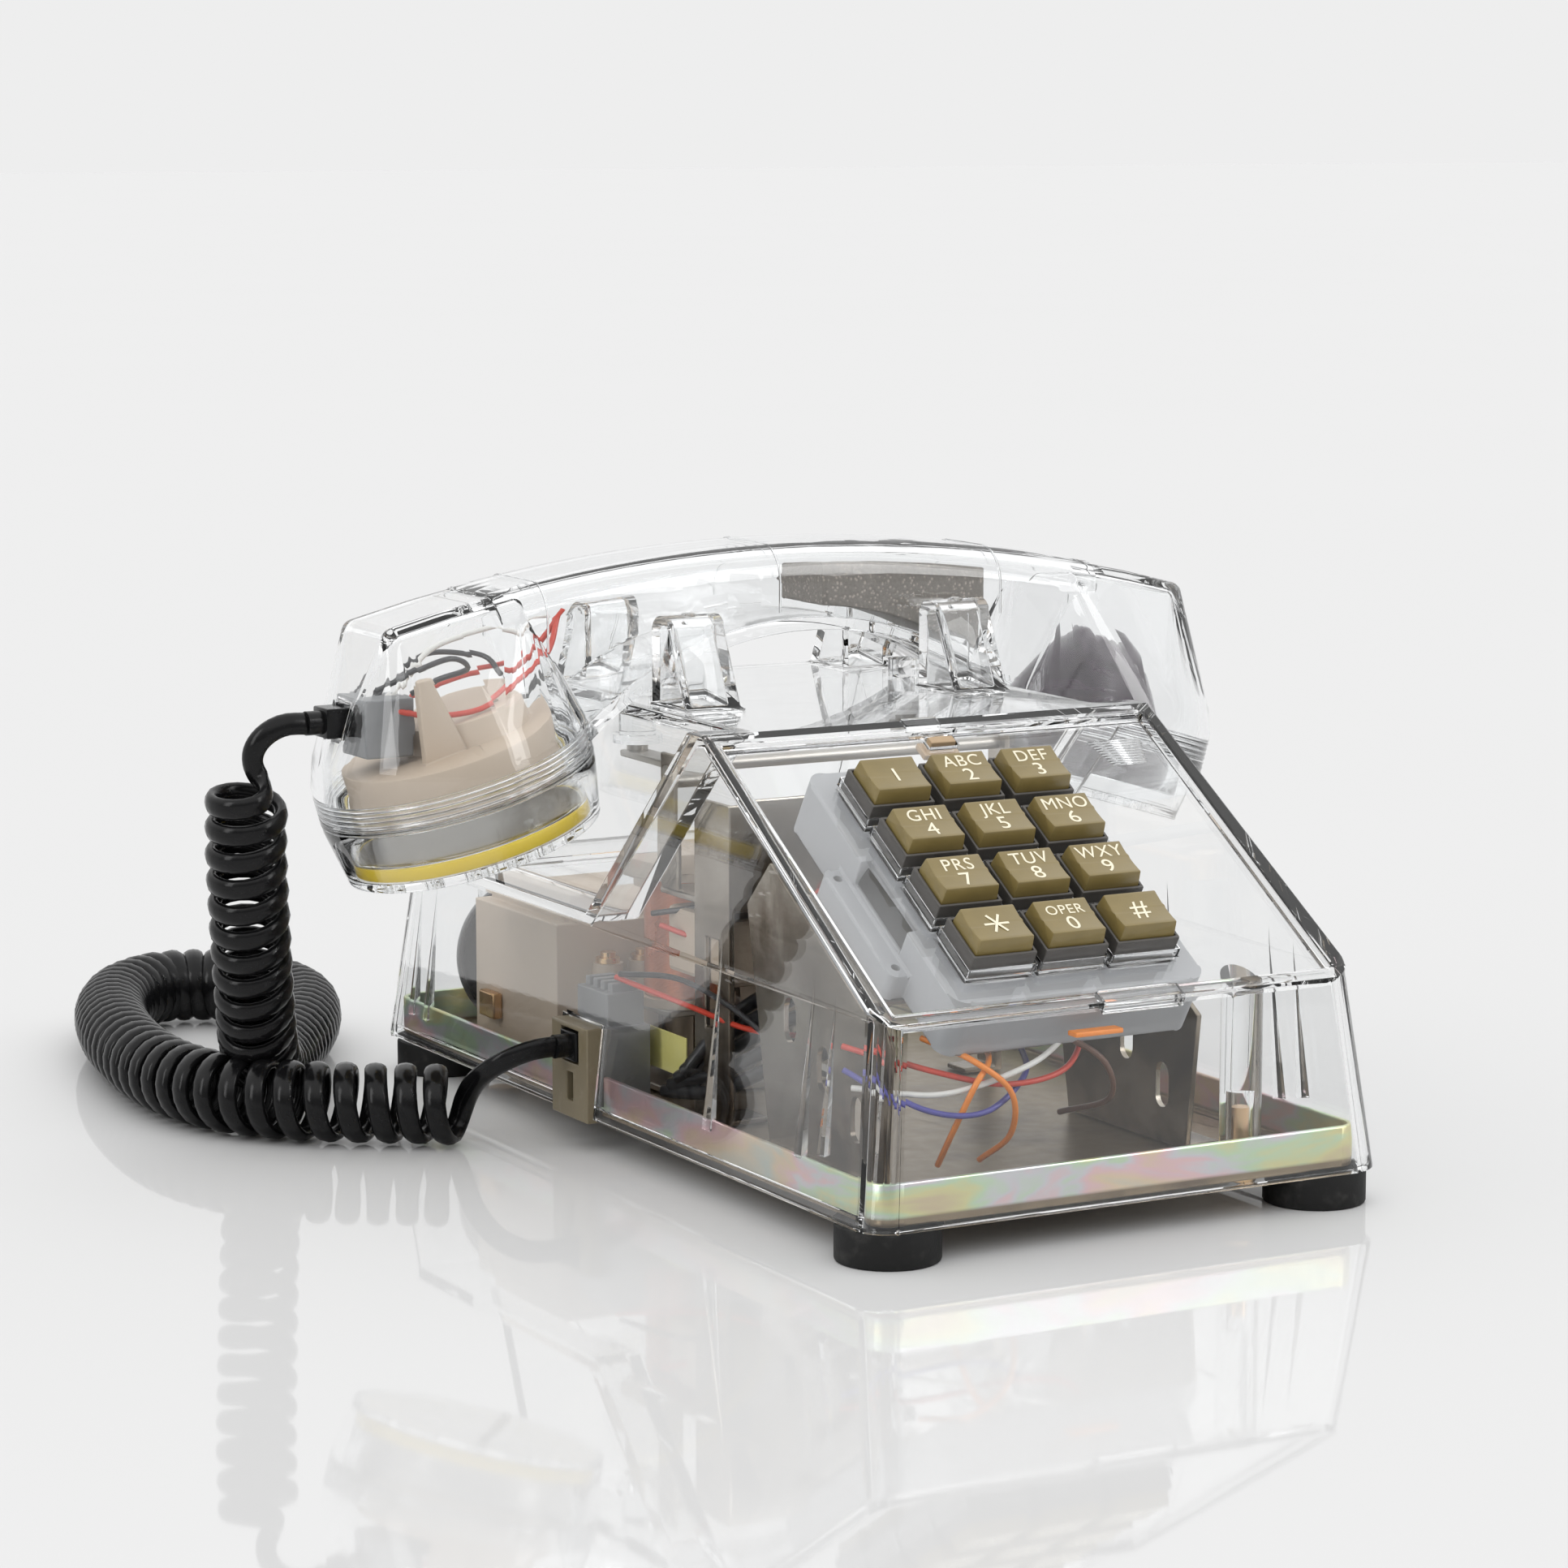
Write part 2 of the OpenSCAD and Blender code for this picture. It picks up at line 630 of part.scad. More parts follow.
module at_feet() {
  for (x = [-1, 1], y = [foot_front_y, foot_back_y]) translate([x * foot_x, y, 0]) children();
}

module rubber_feet() {
  color([0.08, 0.08, 0.08]) at_feet() difference() {
    union() {
      cylinder(h = base_z - 0.05, r = foot_r);
      cylinder(h = pan_z - 0.05, r = 3 * rivet_r);
    }
    translate([0, 0, -1]) cylinder(h = 4, r = 2 * rivet_r);
    cylinder(h = 20, r = rivet_r + run_gap);
  }
}

// Flanged rivets that hold the feet to the pan
module foot_rivets() {
  color([0.7, 0.66, 0.5]) at_feet() {
    translate([0, 0, 1.6]) cylinder(h = 1.3, r = 1.8 * rivet_r);
    translate([0, 0, 2]) cylinder(h = floor_z - 1, r = rivet_r);
    translate([0, 0, floor_z + 0.05]) cylinder(h = 1, r = 1.6 * rivet_r);
  }
}

module housing_screw(x, y) {
  translate([x, y, pan_z - 2.2]) cylinder(h = 2.1, r = screw_head_r);
  translate([x, y, pan_z - 1]) cylinder(h = screw_l - 1, r = screw_r);
}

module housing_screws() {
  color([0.75, 0.45, 0.3]) {
    housing_screw(post_x, post_y);
    both_sides() housing_screw(rear_post_x, rear_post_y);
  }
}

// Bracket-shaped surround of a jack port, set in a slot of the wall; the wall faces -X
module jack_strip_form() {
  x0 = -base_w / 2 - jack_out;
  difference() {
    slab([x0, -jack_w / 2, base_z - 0.9], [x0 + 4.4, jack_w / 2, jack_top_z]);
    slab([x0 - 1, -plug_w / 2 - 2 * port_gap, port_mid_z - plug_h / 2 - 2 * port_gap],
      [x0 + 6, plug_w / 2 + 2 * port_gap, port_mid_z + plug_h / 2 + 2 * port_gap]);
    slab([x0 - 1, -1.6, base_z + 3], [x0 + 6, 1.6, port_mid_z - 6]);
  }
}

module jack_block_form() {
  x0 = -base_w / 2 - jack_out + 4.5;
  depth = 13;
  difference() {
    union() {
      slab([x0, -jack_w / 2 + 0.4, seat_z], [x0 + depth, jack_w / 2 - 0.4, jack_top_z - 0.4]);
      slab([x0 + 2.8, -jack_w / 2 + 1.4, jack_top_z - 1],
        [x0 + depth - 1, jack_w / 2 - 1.4, jack_block_z - 2]);
      for (y = [-5.4 : 3.6 : 5.4])
        slab([x0 + 4.4, y - 1, jack_block_z - 3], [x0 + depth - 2, y + 1, jack_block_z]);
    }
    slab([x0 - 1, -plug_w / 2 - port_gap, port_mid_z - plug_h / 2 - port_gap],
      [x0 + depth - 2, plug_w / 2 + port_gap, port_mid_z + plug_h / 2 + port_gap]);
  }
}

module on_rear() {
  translate([line_x, (base_d - base_w) / 2, 0]) rotate([0, 0, -90]) children();
}

module handset_jack_strip() {
  color([0.5, 0.45, 0.33]) translate([0, jack_y, 0]) jack_strip_form();
}

module handset_jack() {
  color([0.55, 0.57, 0.58]) translate([0, jack_y, 0]) jack_block_form();
}

module line_jack_strip() {
  color([0.5, 0.45, 0.33]) on_rear() jack_strip_form();
}

module line_jack() {
  color([0.55, 0.57, 0.58]) on_rear() jack_block_form();
}

// ---------- inside the base ----------
// Terminal posts along the network block's front
module at_terminals() {
  for (k = [0 : 3]) translate([block_left + 11 + terminal_pitch * k, block_front_y - 4, seat_z]) children();
}

module network_block() {
  cover = 2.5;
  color([0.85, 0.79, 0.68]) {
    slab([block_left, block_front_y, seat_z], [block_right, block_rear_y, block_top_z]);
    slab([block_left + 3, block_front_y + cover, block_top_z - 1],
      [block_right - 4, block_rear_y - cover, block_top_z + 4]);
    at_terminals() {
      cylinder(h = terminal_h, r = 3.4);
      slab([-2, 0, 0], [2, 6, terminal_h - 2]);
    }
  }
}

module network_terminals() {
  color([0.85, 0.83, 0.78]) {
    at_terminals() translate([0, 0, terminal_h + 0.05]) {
      cylinder(h = 1.2, r = 2.8);
      cylinder(h = 2.4, r = 1.8);
    }
    slab([block_left - 2.4, block_rear_y - 14.5, 18], [block_left - 0.05, block_rear_y - 6.5, 24]);
  }
}

// Steel yoke of the bell coil, the clapper's post and the two gong posts
module ringer_frame() {
  yoke = coil_flange_r - 2;
  color([0.72, 0.72, 0.7]) difference() {
    union() {
      slab([coil_x - 10, coil_y - 12, seat_z], [5, coil_y + 14, floor_z + 2]);
      slab([coil_x + 12.4, coil_y - yoke, seat_z], [coil_x + 14.4, coil_y + yoke, 62]);
      slab([coil_x - yoke, coil_y - yoke, coil_low_z - 1.7], [coil_x + 13, coil_y + yoke, coil_low_z - 0.1]);
      slab([-3, clapper_y - 4, seat_z], [3, clapper_y + 4, clapper_z - 3.4]);
      for (x = [left_gong_x, gong_x]) {
        slab([x - 3, gong_y - 14, seat_z], [x + 3, gong_y - 12.6, gong_z + 4]);
        slab([x - 3, gong_y - 14, seat_z], [x + 3, gong_y - 2, floor_z + 1.6]);
      }
    }
    at_gongs(-20) cylinder(h = 10, r = gong_screw_r + run_gap);
    translate([0, clapper_y, clapper_z - 12]) cylinder(h = 20, r = clapper_pin_r + run_gap);
    translate([coil_x, coil_y, 20]) cylinder(h = 20, r = core_pin_r + run_gap);
  }
}

module ringer_bobbin() {
  color([0.86, 0.8, 0.7]) translate([coil_x, coil_y, coil_low_z]) difference() {
    union() {
      cylinder(h = 2, r = coil_flange_r);
      cylinder(h = coil_l, r = core_r);
      translate([0, 0, coil_l - 2]) cylinder(h = 2, r = coil_flange_r);
      slab([-coil_flange_r, 1 - coil_flange_r, coil_l - 0.1],
        [coil_flange_r + 1, coil_flange_r - 1, coil_l + 4.3]);
    }
    translate([0, 0, -10]) cylinder(h = coil_l + 14, r = core_pin_r + run_gap);
  }
}

module ringer_winding() {
  color([0.72, 0.3, 0.18]) translate([coil_x, coil_y, coil_low_z + 2.2]) difference() {
    cylinder(h = coil_l - 4.4, r = coil_flange_r - 1.4);
    translate([0, 0, -1]) cylinder(h = coil_l, r = core_r + 0.05);
  }
}

// Axis of each bell, pointing to the rear
module at_gongs(y) {
  for (x = [left_gong_x, gong_x]) translate([x, gong_y + y, gong_z]) rotate([-90, 0, 0]) children();
}

// Two shallow bells, their domes towards the rear
module gongs() {
  outer = [for (a = [85 : -10 : 15]) [gong_r * sin(a), gong_deep * cos(a)]];
  inner = [for (a = [15 : 10 : 85]) [(gong_r - gong_t) * sin(a), (gong_deep - gong_t) * cos(a)]];
  hole_r = gong_screw_r + 0.1;
  color([0.45, 0.45, 0.46]) at_gongs(-12.4)
    rotate_extrude() polygon(concat([[hole_r, gong_deep], [hole_r, gong_deep - gong_t]], inner,
      [[gong_r - gong_t, 0], [gong_r, 0]], outer));
}

module gong_screws() {
  foot = 15.2;
  color([0.8, 0.76, 0.6]) at_gongs(-foot) {
    cylinder(h = foot - 1, r = gong_screw_r);
    translate([0, 0, foot - 2.7]) cylinder(h = 2, r = 3.4);
  }
}

// Swinging arm with a striker beside each bell
module clapper() {
  color([0.75, 0.72, 0.6]) {
    translate([0, clapper_y, clapper_z - 3]) cylinder(h = 6, r = 3.2);
    translate([0, clapper_y, clapper_z]) rotate([-90, 0, 0]) cylinder(h = ball_y - clapper_y, r = clapper_r);
    translate([striker_x, ball_y, clapper_z]) rotate([0, 90, 0]) cylinder(h = -striker_x, r = clapper_r);
    for (x = [striker_x, 0]) {
      translate([x, ball_y, ball_z]) cylinder(h = clapper_z - ball_z + 0.6, r = clapper_r);
      translate([x, ball_y, ball_z]) sphere(ball_r);
    }
    translate([0, clapper_y, clapper_z - 11]) cylinder(h = 10, r = clapper_pin_r);
  }
}

module volume_wheel() {
  color([0.3, 0.3, 0.3]) translate([wheel_x - wheel_t / 2, wheel_y, wheel_z]) rotate([0, 90, 0])
  difference() {
    cylinder(h = wheel_t, r = wheel_r);
    translate([0, 0, -1]) cylinder(h = wheel_t + 2, r = axle_r + run_gap);
    for (a = [0 : 20 : 359]) rotate([0, 0, a]) translate([wheel_r + 0.4, 0, -1])
      cylinder(h = wheel_t + 2, r = 1, $fn = 16);
  }
}

// ---------- hook switch ----------
module hookswitch_frame() {
  w = hook_half_w;
  color([0.78, 0.78, 0.78]) {
    difference() {
      union() {
        slab([-w, hook_front_y, hook_plate_z + 1.4], [-12, hook_front_y + 1.4, hook_top_z]);
        slab([-w, hook_front_y, hook_plate_z], [-12, bail_y + 4, hook_plate_z + 1.4]);
        slab([-w, hook_front_y, seat_z], [-w + 1.4, hook_front_y + 16, hook_top_z]);
        for (x = [-w + 0.2, w - 1.4]) slab([x, bail_y - 4, hook_plate_z], [x + 1.2, bail_y + 4, bail_z + 4]);
        slab([-w, bail_y - 4, hook_plate_z], [w, bail_y + 4, hook_plate_z + 1.4]);
        slab([w - 4, bail_y - 4, seat_z], [w - 2, bail_y + 4, hook_plate_z + 1.4]);
        slab([w - 12, bail_y - 4, seat_z], [w - 2, bail_y + 4, floor_z + 1.5]);
        slab([-w, hook_front_y, seat_z], [-w + 10, hook_front_y + 10, floor_z + 1.5]);
      }
      translate([-w - 8, bail_y, bail_z]) rotate([0, 90, 0]) cylinder(h = 2 * w + 16, r = bail_r + run_gap);
      slab([-w - 2, hook_front_y + 5, 30], [-w + 4, hook_front_y + 11, 50]);
    }
    // Holder and axle of the volume wheel
    slab([wheel_x - 4.4, wheel_y - 3, seat_z], [wheel_x - 3, wheel_y + 3, wheel_z + 3]);
    slab([wheel_x - 4.4, wheel_y - wheel_r - 4, seat_z], [wheel_x - 3, wheel_y + wheel_r + 4, floor_z + 3]);
    translate([wheel_x - 4, wheel_y, wheel_z]) rotate([0, 90, 0]) cylinder(h = wheel_t + 3.4, r = axle_r);
  }
}

// Contact springs and their beige block
module hookswitch_contacts() {
  low = hook_plate_z + 1.5;
  color([0.84, 0.78, 0.68]) {
    slab([-hook_half_w + 4, hook_front_y + 4, low], [-16, hook_front_y + 10, low + 12]);
    for (k = [0 : 4]) slab([-hook_half_w + 6 + 4 * k, hook_front_y + 9.5, low + 2],
      [-hook_half_w + 6.6 + 4 * k, max(hook_front_y + 12, bail_y - 8), low + 10]);
  }
}

// Cross bar that both plungers push, turning on a pin along X
module hook_bail() {
  pin = hook_half_w + 0.6;
  color([0.7, 0.7, 0.7]) {
    translate([-pin, bail_y, bail_z]) rotate([0, 90, 0]) cylinder(h = 2 * pin, r = bail_r);
    for (x = [-ear_x, ear_x]) {
      slab([x - 3, bail_y, bail_z - 0.8], [x + 3, handset_y + 3, bail_z + 0.8]);
      translate([x, handset_y, bail_z]) cylinder(h = 2.3, r = 2.4);
    }
  }
}

module hook_plungers() {
  color([0.9, 0.93, 0.95, 0.4]) both_sides() translate([ear_x, handset_y, plunger_low_z]) {
    cylinder(h = plunger_top_z - plunger_low_z, r = plunger_r);
    cylinder(h = 2, r = plunger_r + 1.4);
  }
}

// ---------- handset ----------
// Height of the handle's top at a distance from its middle
function handle_top_at(x) = top_centre_z + sqrt(handle_top_arc * handle_top_arc - x * x);

// Handle form: a bar bent along the top arc and hollowed by the lower arc
module handle_form(in, half_l) {
  half_w = handle_w / 2 - in;
  r = 8 - in;
  top_r = handle_top_arc - in;
  depth = 44;
  span = 2 * asin(half_l / handle_top_arc);
  translate([0, handset_y, 0]) difference() {
    translate([0, 0, top_centre_z]) rotate([90, 0, 0]) rotate([0, 0, 90 - span / 2])
      rotate_extrude(angle = span, $fn = 360) {
        translate([top_r - depth, -half_w]) square([depth - r, 2 * half_w]);
        translate([top_r - depth, -half_w + r]) square([depth, 2 * half_w - 2 * r]);
        for (y = [-1, 1]) translate([top_r - r, y * (half_w - r)]) circle(r, $fn = 32);
      }
    translate([0, 0, low_centre_z]) rotate([90, 0, 0])
      cylinder(h = 100, r = handle_low_arc + in, center = true, $fn = 128);
  }
}

// Cup form: from the cap's rim up to the shoulder at the handle's end
module cup_form(side, in) {
  hull() {
    on_cup(side) translate([0, 0, cap_h]) cylinder(h = 7, r = cup_r - in, $fn = 64);
    on_cup(side) translate([0, 0, cap_h + 7]) cylinder(h = 6, r = cup_r - 2 - in, $fn = 64);
    for (x = [shoulder_x - in, shoulder_x - 14, shoulder_x - 29], y = [-1, 1])
      translate([side * x, handset_y + y * (handle_w / 2 - 6), handle_top_at(x) - shoulder_r - 0.6 - in])
        sphere(shoulder_r, $fn = hull_fn);
  }
}

module handset_shell() {
  color([0.9, 0.93, 0.95, 0.3]) difference() {
    union() {
      handle_form(0, handle_half_l);
      for (side = [-1, 1]) {
        cup_form(side, 0);
        on_cup(side) translate([0, 0, neck_low]) cylinder(h = cap_h - neck_low + 1, r = neck_r);
      }
    }
    handle_form(handset_wall, handle_half_l + 4);
    for (side = [-1, 1]) {
      cup_form(side, handset_wall);
      on_cup(side) translate([0, 0, -1]) cylinder(h = cap_h + 10, r = neck_r - 2);
    }
    slab([-cup_tip - 5, handset_y - plug_w / 2 - 0.5, plug_z - plug_h / 2 - 0.5],
      [-cup_tip + 9, handset_y + plug_w / 2 + 0.5, plug_z + plug_h / 2 + 0.5]);
  }
}

// Screw cap: a pierced face and a skirt that covers the thread
module screw_cap(side) {
  hole_r = 1.1;
  on_cup(side) difference() {
    union() {
      cylinder(h = 1.2, r = cap_face_r);
      rotate_extrude() polygon([[0, 0], [cap_face_r - 1, 0], [cap_face_r, 0.8], [cup_r, cap_h - 3],
        [cup_r, cap_h - fix_gap], [0, cap_h - fix_gap]]);
    }
    translate([0, 0, 2]) cylinder(h = cap_h, r = neck_r + fix_gap);
    for (k = [0 : 5]) rotate([0, 0, 60 * k]) translate([8, 0, -1]) cylinder(h = 5, r = hole_r, $fn = 24);
    for (k = [0 : 11]) rotate([0, 0, 30 * k]) translate([15, 0, -1])
      cylinder(h = 5, r = hole_r, $fn = 24);
    translate([0, 0, -1]) cylinder(h = 5, r = hole_r, $fn = 24);
  }
}

module transmitter_cap() { color([0.9, 0.93, 0.95, 0.3]) screw_cap(-1); }
module receiver_cap() { color([0.9, 0.93, 0.95, 0.3]) screw_cap(1); }

// Beige cup behind the microphone, with its tall fin
module transmitter_cup() {
  color([0.86, 0.79, 0.68]) on_cup(-1) {
    difference() {
      union() {
        translate([0, 0, 13]) cylinder(h = 11, r = cup_in_r - 1.6);
        translate([6, 0, 23]) cylinder(h = 7, r = cup_in_r - 10.7);
        translate([-6, -12, 0]) along_y(-1.2, 1.2) polygon([[-5, 23], [5.4, 23], [1.6, 42], [-1.8, 42]]);
      }
      translate([0, 0, 12]) cylinder(h = 10, r = cup_in_r - 3.4);
      translate([10, -9, 27]) cylinder(h = 4, r = 1.3);
    }
  }
}

module transmitter_capsule() {
  color([0.7, 0.68, 0.6]) on_cup(-1) {
    translate([0, 0, 6.2]) cylinder(h = 6.5, r = cup_in_r - 0.6);
  }
}

module cap_gasket() {
  color([0.85, 0.68, 0.1]) on_cup(-1) translate([0, 0, 2.2]) difference() {
    cylinder(h = 3, r = neck_r - 0.2);
    translate([0, 0, -1]) cylinder(h = 6, r = cup_in_r - 6);
  }
}

module receiver_capsule() {
  color([0.12, 0.09, 0.13]) on_cup(1) {
    translate([0, 0, 6.2]) cylinder(h = 9, r = cup_in_r - 0.6);
    translate([0, 0, 15]) rotate_extrude()
      polygon([[0, 0], [cup_in_r - 3.6, 0], [cup_in_r - 7.3, 8], [cup_in_r - 12.3, 17], [5, 24], [0, 25]]);
  }
}

// Speckled weight plate in the handle, right of the middle
module handset_weight() {
  color([0.48, 0.44, 0.4]) intersection() {
    handle_form(handset_wall + 2.4, 60);
    slab([6, handset_y - 9.6, 90], [49, handset_y + 9.6, 140]);
  }
}

module handset_socket() {
  color([0.5, 0.51, 0.52]) difference() {
    slab([socket_x, handset_y - 6.6, plug_z - 8], [socket_x + socket_l, handset_y + 6.6, plug_z + 4.8]);
    slab([socket_x - 1, handset_y - plug_w / 2 - 0.2, plug_z - plug_h / 2 - 0.2],
      [socket_x + socket_l - 3, handset_y + plug_w / 2 + 0.2, plug_z + plug_h / 2 + 0.2]);
  }
}

// ---------- cord ----------
// Modular plug: a body in the socket and a short boot outside
module plug_form(body_l) {
  slab([0, -plug_w / 2, -plug_h / 2], [body_l, plug_w / 2, plug_h / 2]);
  translate([-plug_out, 0, 0]) rotate([0, 90, 0]) cylinder(h = plug_out + 1, r = cord_d / 2 + 0.7);
}

module handset_plug() {
  color([0.15, 0.15, 0.15]) translate([plug_x, handset_y, plug_z]) plug_form(12);
}

module base_plug() {
  color([0.15, 0.15, 0.15]) translate([jack_plug_x, jack_y, port_mid_z]) plug_form(14);
}

module cord_upper_lead() {
  color([0.05, 0.05, 0.05]) sweep(upper_lead, cord_d);
}

module curly_cord() {
  color([0.05, 0.05, 0.05]) sweep(curl_route, curl_d, 12);
}

module cord_lower_lead() {
  color([0.05, 0.05, 0.05]) sweep(lower_lead, cord_d);
}

housing();
faceplate();
faceplate_clip();
base_pan();
rubber_feet();
foot_rivets();
housing_screws();
keypad_frame();
key_collars();
key_1();
key_2();
key_3();
key_4();
key_5();
key_6();
key_7();
key_8();
key_9();
key_star();
key_0();
key_hash();
dome_sheet();
keypad_board();
keypad_back();
keypad_bracket_left();
keypad_bracket_right();
keypad_screws();
network_block();
network_terminals();
ringer_frame();
ringer_bobbin();
ringer_winding();
gongs();
gong_screws();
clapper();
volume_wheel();
hookswitch_frame();
hookswitch_contacts();
hook_bail();
hook_plungers();
handset_jack();
handset_jack_strip();
line_jack();
line_jack_strip();
handset_shell();
transmitter_cap();
receiver_cap();
transmitter_cup();
transmitter_capsule();
cap_gasket();
receiver_capsule();
handset_weight();
handset_socket();
handset_plug();
base_plug();
cord_upper_lead();
curly_cord();
cord_lower_lead();
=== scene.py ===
import json
import math

import bmesh
import bpy
import numpy as np
from mathutils import Matrix, Vector


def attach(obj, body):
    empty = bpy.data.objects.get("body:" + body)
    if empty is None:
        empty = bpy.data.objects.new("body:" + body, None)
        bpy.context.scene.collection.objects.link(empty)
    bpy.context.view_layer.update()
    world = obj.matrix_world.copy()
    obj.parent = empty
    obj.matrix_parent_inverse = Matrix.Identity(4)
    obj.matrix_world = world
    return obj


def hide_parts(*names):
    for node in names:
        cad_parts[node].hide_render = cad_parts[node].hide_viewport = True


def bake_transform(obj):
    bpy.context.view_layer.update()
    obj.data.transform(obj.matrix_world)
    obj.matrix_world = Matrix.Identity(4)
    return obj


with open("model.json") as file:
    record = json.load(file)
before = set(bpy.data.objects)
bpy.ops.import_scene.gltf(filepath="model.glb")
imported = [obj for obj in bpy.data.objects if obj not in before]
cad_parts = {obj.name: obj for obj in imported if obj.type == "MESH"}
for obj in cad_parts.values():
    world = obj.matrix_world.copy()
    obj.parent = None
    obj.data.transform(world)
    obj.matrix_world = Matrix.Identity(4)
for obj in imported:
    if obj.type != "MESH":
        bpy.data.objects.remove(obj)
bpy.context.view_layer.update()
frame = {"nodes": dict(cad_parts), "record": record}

bl_info = {
    "name": "Clear Desk Telephone",
    "version": (1, 0, 0),
    "blender": (4, 5, 0),
    "location": "3D View > Sidebar > Telephone",
    "description": "Dresses a clear push-button desk telephone with its finishes, wires and curly cord",
    "category": "Object",
}

MM = 0.001
BODY_OF = {node: body for body, nodes in frame["record"]["behaviour"]["bodies"].items() for node in nodes}
SLOT_OF = {row["node"]: row["material_slot"] for row in frame["record"]["subparts"]}

# ---------- the telephone's own places, in millimetres ----------
BASE_W = 124.8
BASE_D = 236.0
BASE_Z = 7.7
FRONT_TOP_Z = 48.9
DECK_Z = 97.5
FACE_RUN = 82.6
WALL_LEAN = 0.117
FACE_ANGLE = math.atan2(DECK_Z - FRONT_TOP_Z, FACE_RUN - WALL_LEAN * (FRONT_TOP_Z - BASE_Z))
FACE_TOP_Y = -BASE_D / 2 + FACE_RUN
PAD_X = -5.6
PITCH_X = 17.3
PITCH_S = 16.0
FIRST_ROW_S = 24.2
KEY_TOP_H = 7.4
DISH_R = 26.0
DISH_DEPTH = 1.1
HANDSET_Y = 33.4
CUP_TILT = 16.5
CAP_X = 76.8
CAP_Z = 66.6
CUP_R = 31.2
CAP_H = 15.5
KEYS = {
    "key_1": (-1, 0, "", "1"),
    "key_2": (0, 0, "ABC", "2"),
    "key_3": (1, 0, "DEF", "3"),
    "key_4": (-1, 1, "GHI", "4"),
    "key_5": (0, 1, "JKL", "5"),
    "key_6": (1, 1, "MNO", "6"),
    "key_7": (-1, 2, "PRS", "7"),
    "key_8": (0, 2, "TUV", "8"),
    "key_9": (1, 2, "WXY", "9"),
    "key_star": (-1, 3, "", "*"),
    "key_0": (0, 3, "OPER", "0"),
    "key_hash": (1, 3, "", "#"),
}
UPPER_LEAD = [(-116.9, 33.4, 96), (-118.4, 33.4, 96), (-122.6, 33.5, 96.7), (-127, 34, 96),
              (-130, 34.4, 93.8), (-132, 34.8, 90.4), (-133, 35.2, 86.5)]
CURL_ROUTE = [(-130, 36, 86), (-129, 38, 78), (-128, 41, 68), (-126, 45, 56), (-123.5, 50, 44),
              (-120.5, 56, 32), (-116.5, 64, 21), (-111, 74, 13), (-103, 87, 9.8), (-94, 102, 9.4),
              (-84, 118, 9.4), (-75, 135, 9.4), (-69, 152, 9.4), (-69, 169, 9.4), (-76, 183, 9.4),
              (-90, 189, 9.4), (-103, 181, 9.4), (-112, 167, 9.4), (-118.5, 150, 9.4), (-123.5, 132, 9.4),
              (-127, 114, 9.4), (-129, 96, 9.4), (-128.5, 80, 9.4), (-124.5, 64, 9.4), (-116, 51, 9.4),
              (-104.5, 41, 9.4), (-92.5, 33, 9.4), (-82, 25, 9.4)]
LOWER_LEAD = [(-86, 17.6, 12), (-85.4, 16.4, 15.6), (-83.6, 15.4, 19), (-80.4, 14.6, 21.6),
              (-76.4, 14.2, 22.9), (-71.6, 14, 23.1), (-67.1, 14, 23.1)]


# ---------- settings ----------
class CordSettings(bpy.types.PropertyGroup):
    diameter: bpy.props.FloatProperty(
        name="Cord Diameter", description="Thickness of the cord", default=0.0039, unit="LENGTH")
    coil_radius: bpy.props.FloatProperty(
        name="Coil Radius", description="From the coil's middle to the cord's middle", default=0.00760, unit="LENGTH")
    thickness: bpy.props.FloatProperty(
        name="Cord Thickness", description="Flat cord's short way across", default=0.0029, unit="LENGTH")
    width: bpy.props.FloatProperty(
        name="Cord Width", description="Flat cord's long way across", default=0.0050, unit="LENGTH")
    column_pitch: bpy.props.FloatProperty(
        name="Hanging Pitch", description="Distance between turns where the coil hangs", default=0.0064,
        unit="LENGTH")
    loop_pitch: bpy.props.FloatProperty(
        name="Lying Pitch", description="Distance between turns where the coil lies closed", default=0.0052,
        unit="LENGTH")
    front_pitch: bpy.props.FloatProperty(
        name="Front Pitch", description="Distance between turns along the front of the loop", default=0.0063,
        unit="LENGTH")
    sides: bpy.props.IntProperty(name="Cord Sides", description="Faces round the cord", default=12)


class ShellSettings(bpy.types.PropertyGroup):
    edge_round: bpy.props.FloatProperty(
        name="Shell Edge Round", description="Rounding of the clear shell's edges", default=0.0006, unit="LENGTH")
    thread_count: bpy.props.IntProperty(
        name="Thread Turns", description="Fine ridges round each cap", default=6)
    thread_pitch: bpy.props.FloatProperty(
        name="Thread Pitch", description="Distance between the ridges", default=0.00115, unit="LENGTH")
    tint: bpy.props.FloatVectorProperty(
        name="Clear Tint", description="Colour of the clear plastic", default=(0.985, 0.99, 0.992), subtype="COLOR")


class KeySettings(bpy.types.PropertyGroup):
    edge_round: bpy.props.FloatProperty(
        name="Key Edge Round", description="Rounding of the keys' edges", default=0.00035, unit="LENGTH")
    letter_height: bpy.props.FloatProperty(
        name="Letter Height", description="Height of the letters", default=0.0033, unit="LENGTH")
    digit_height: bpy.props.FloatProperty(
        name="Digit Height", description="Height of the digits", default=0.0042, unit="LENGTH")
    cap_colour: bpy.props.FloatVectorProperty(
        name="Key Colour", description="Olive bronze of the keys", default=(0.175, 0.132, 0.046), subtype="COLOR")
    legend_colour: bpy.props.FloatVectorProperty(
        name="Legend Colour", description="Cream of the legends", default=(0.86, 0.80, 0.62), subtype="COLOR")


class InsideSettings(bpy.types.PropertyGroup):
    wire_diameter: bpy.props.FloatProperty(
        name="Wire Diameter", description="Thickness of the inside wires", default=0.0013, unit="LENGTH")
    beige: bpy.props.FloatVectorProperty(
        name="Beige", description="Colour of the beige mouldings", default=(0.47, 0.385, 0.30), subtype="COLOR")


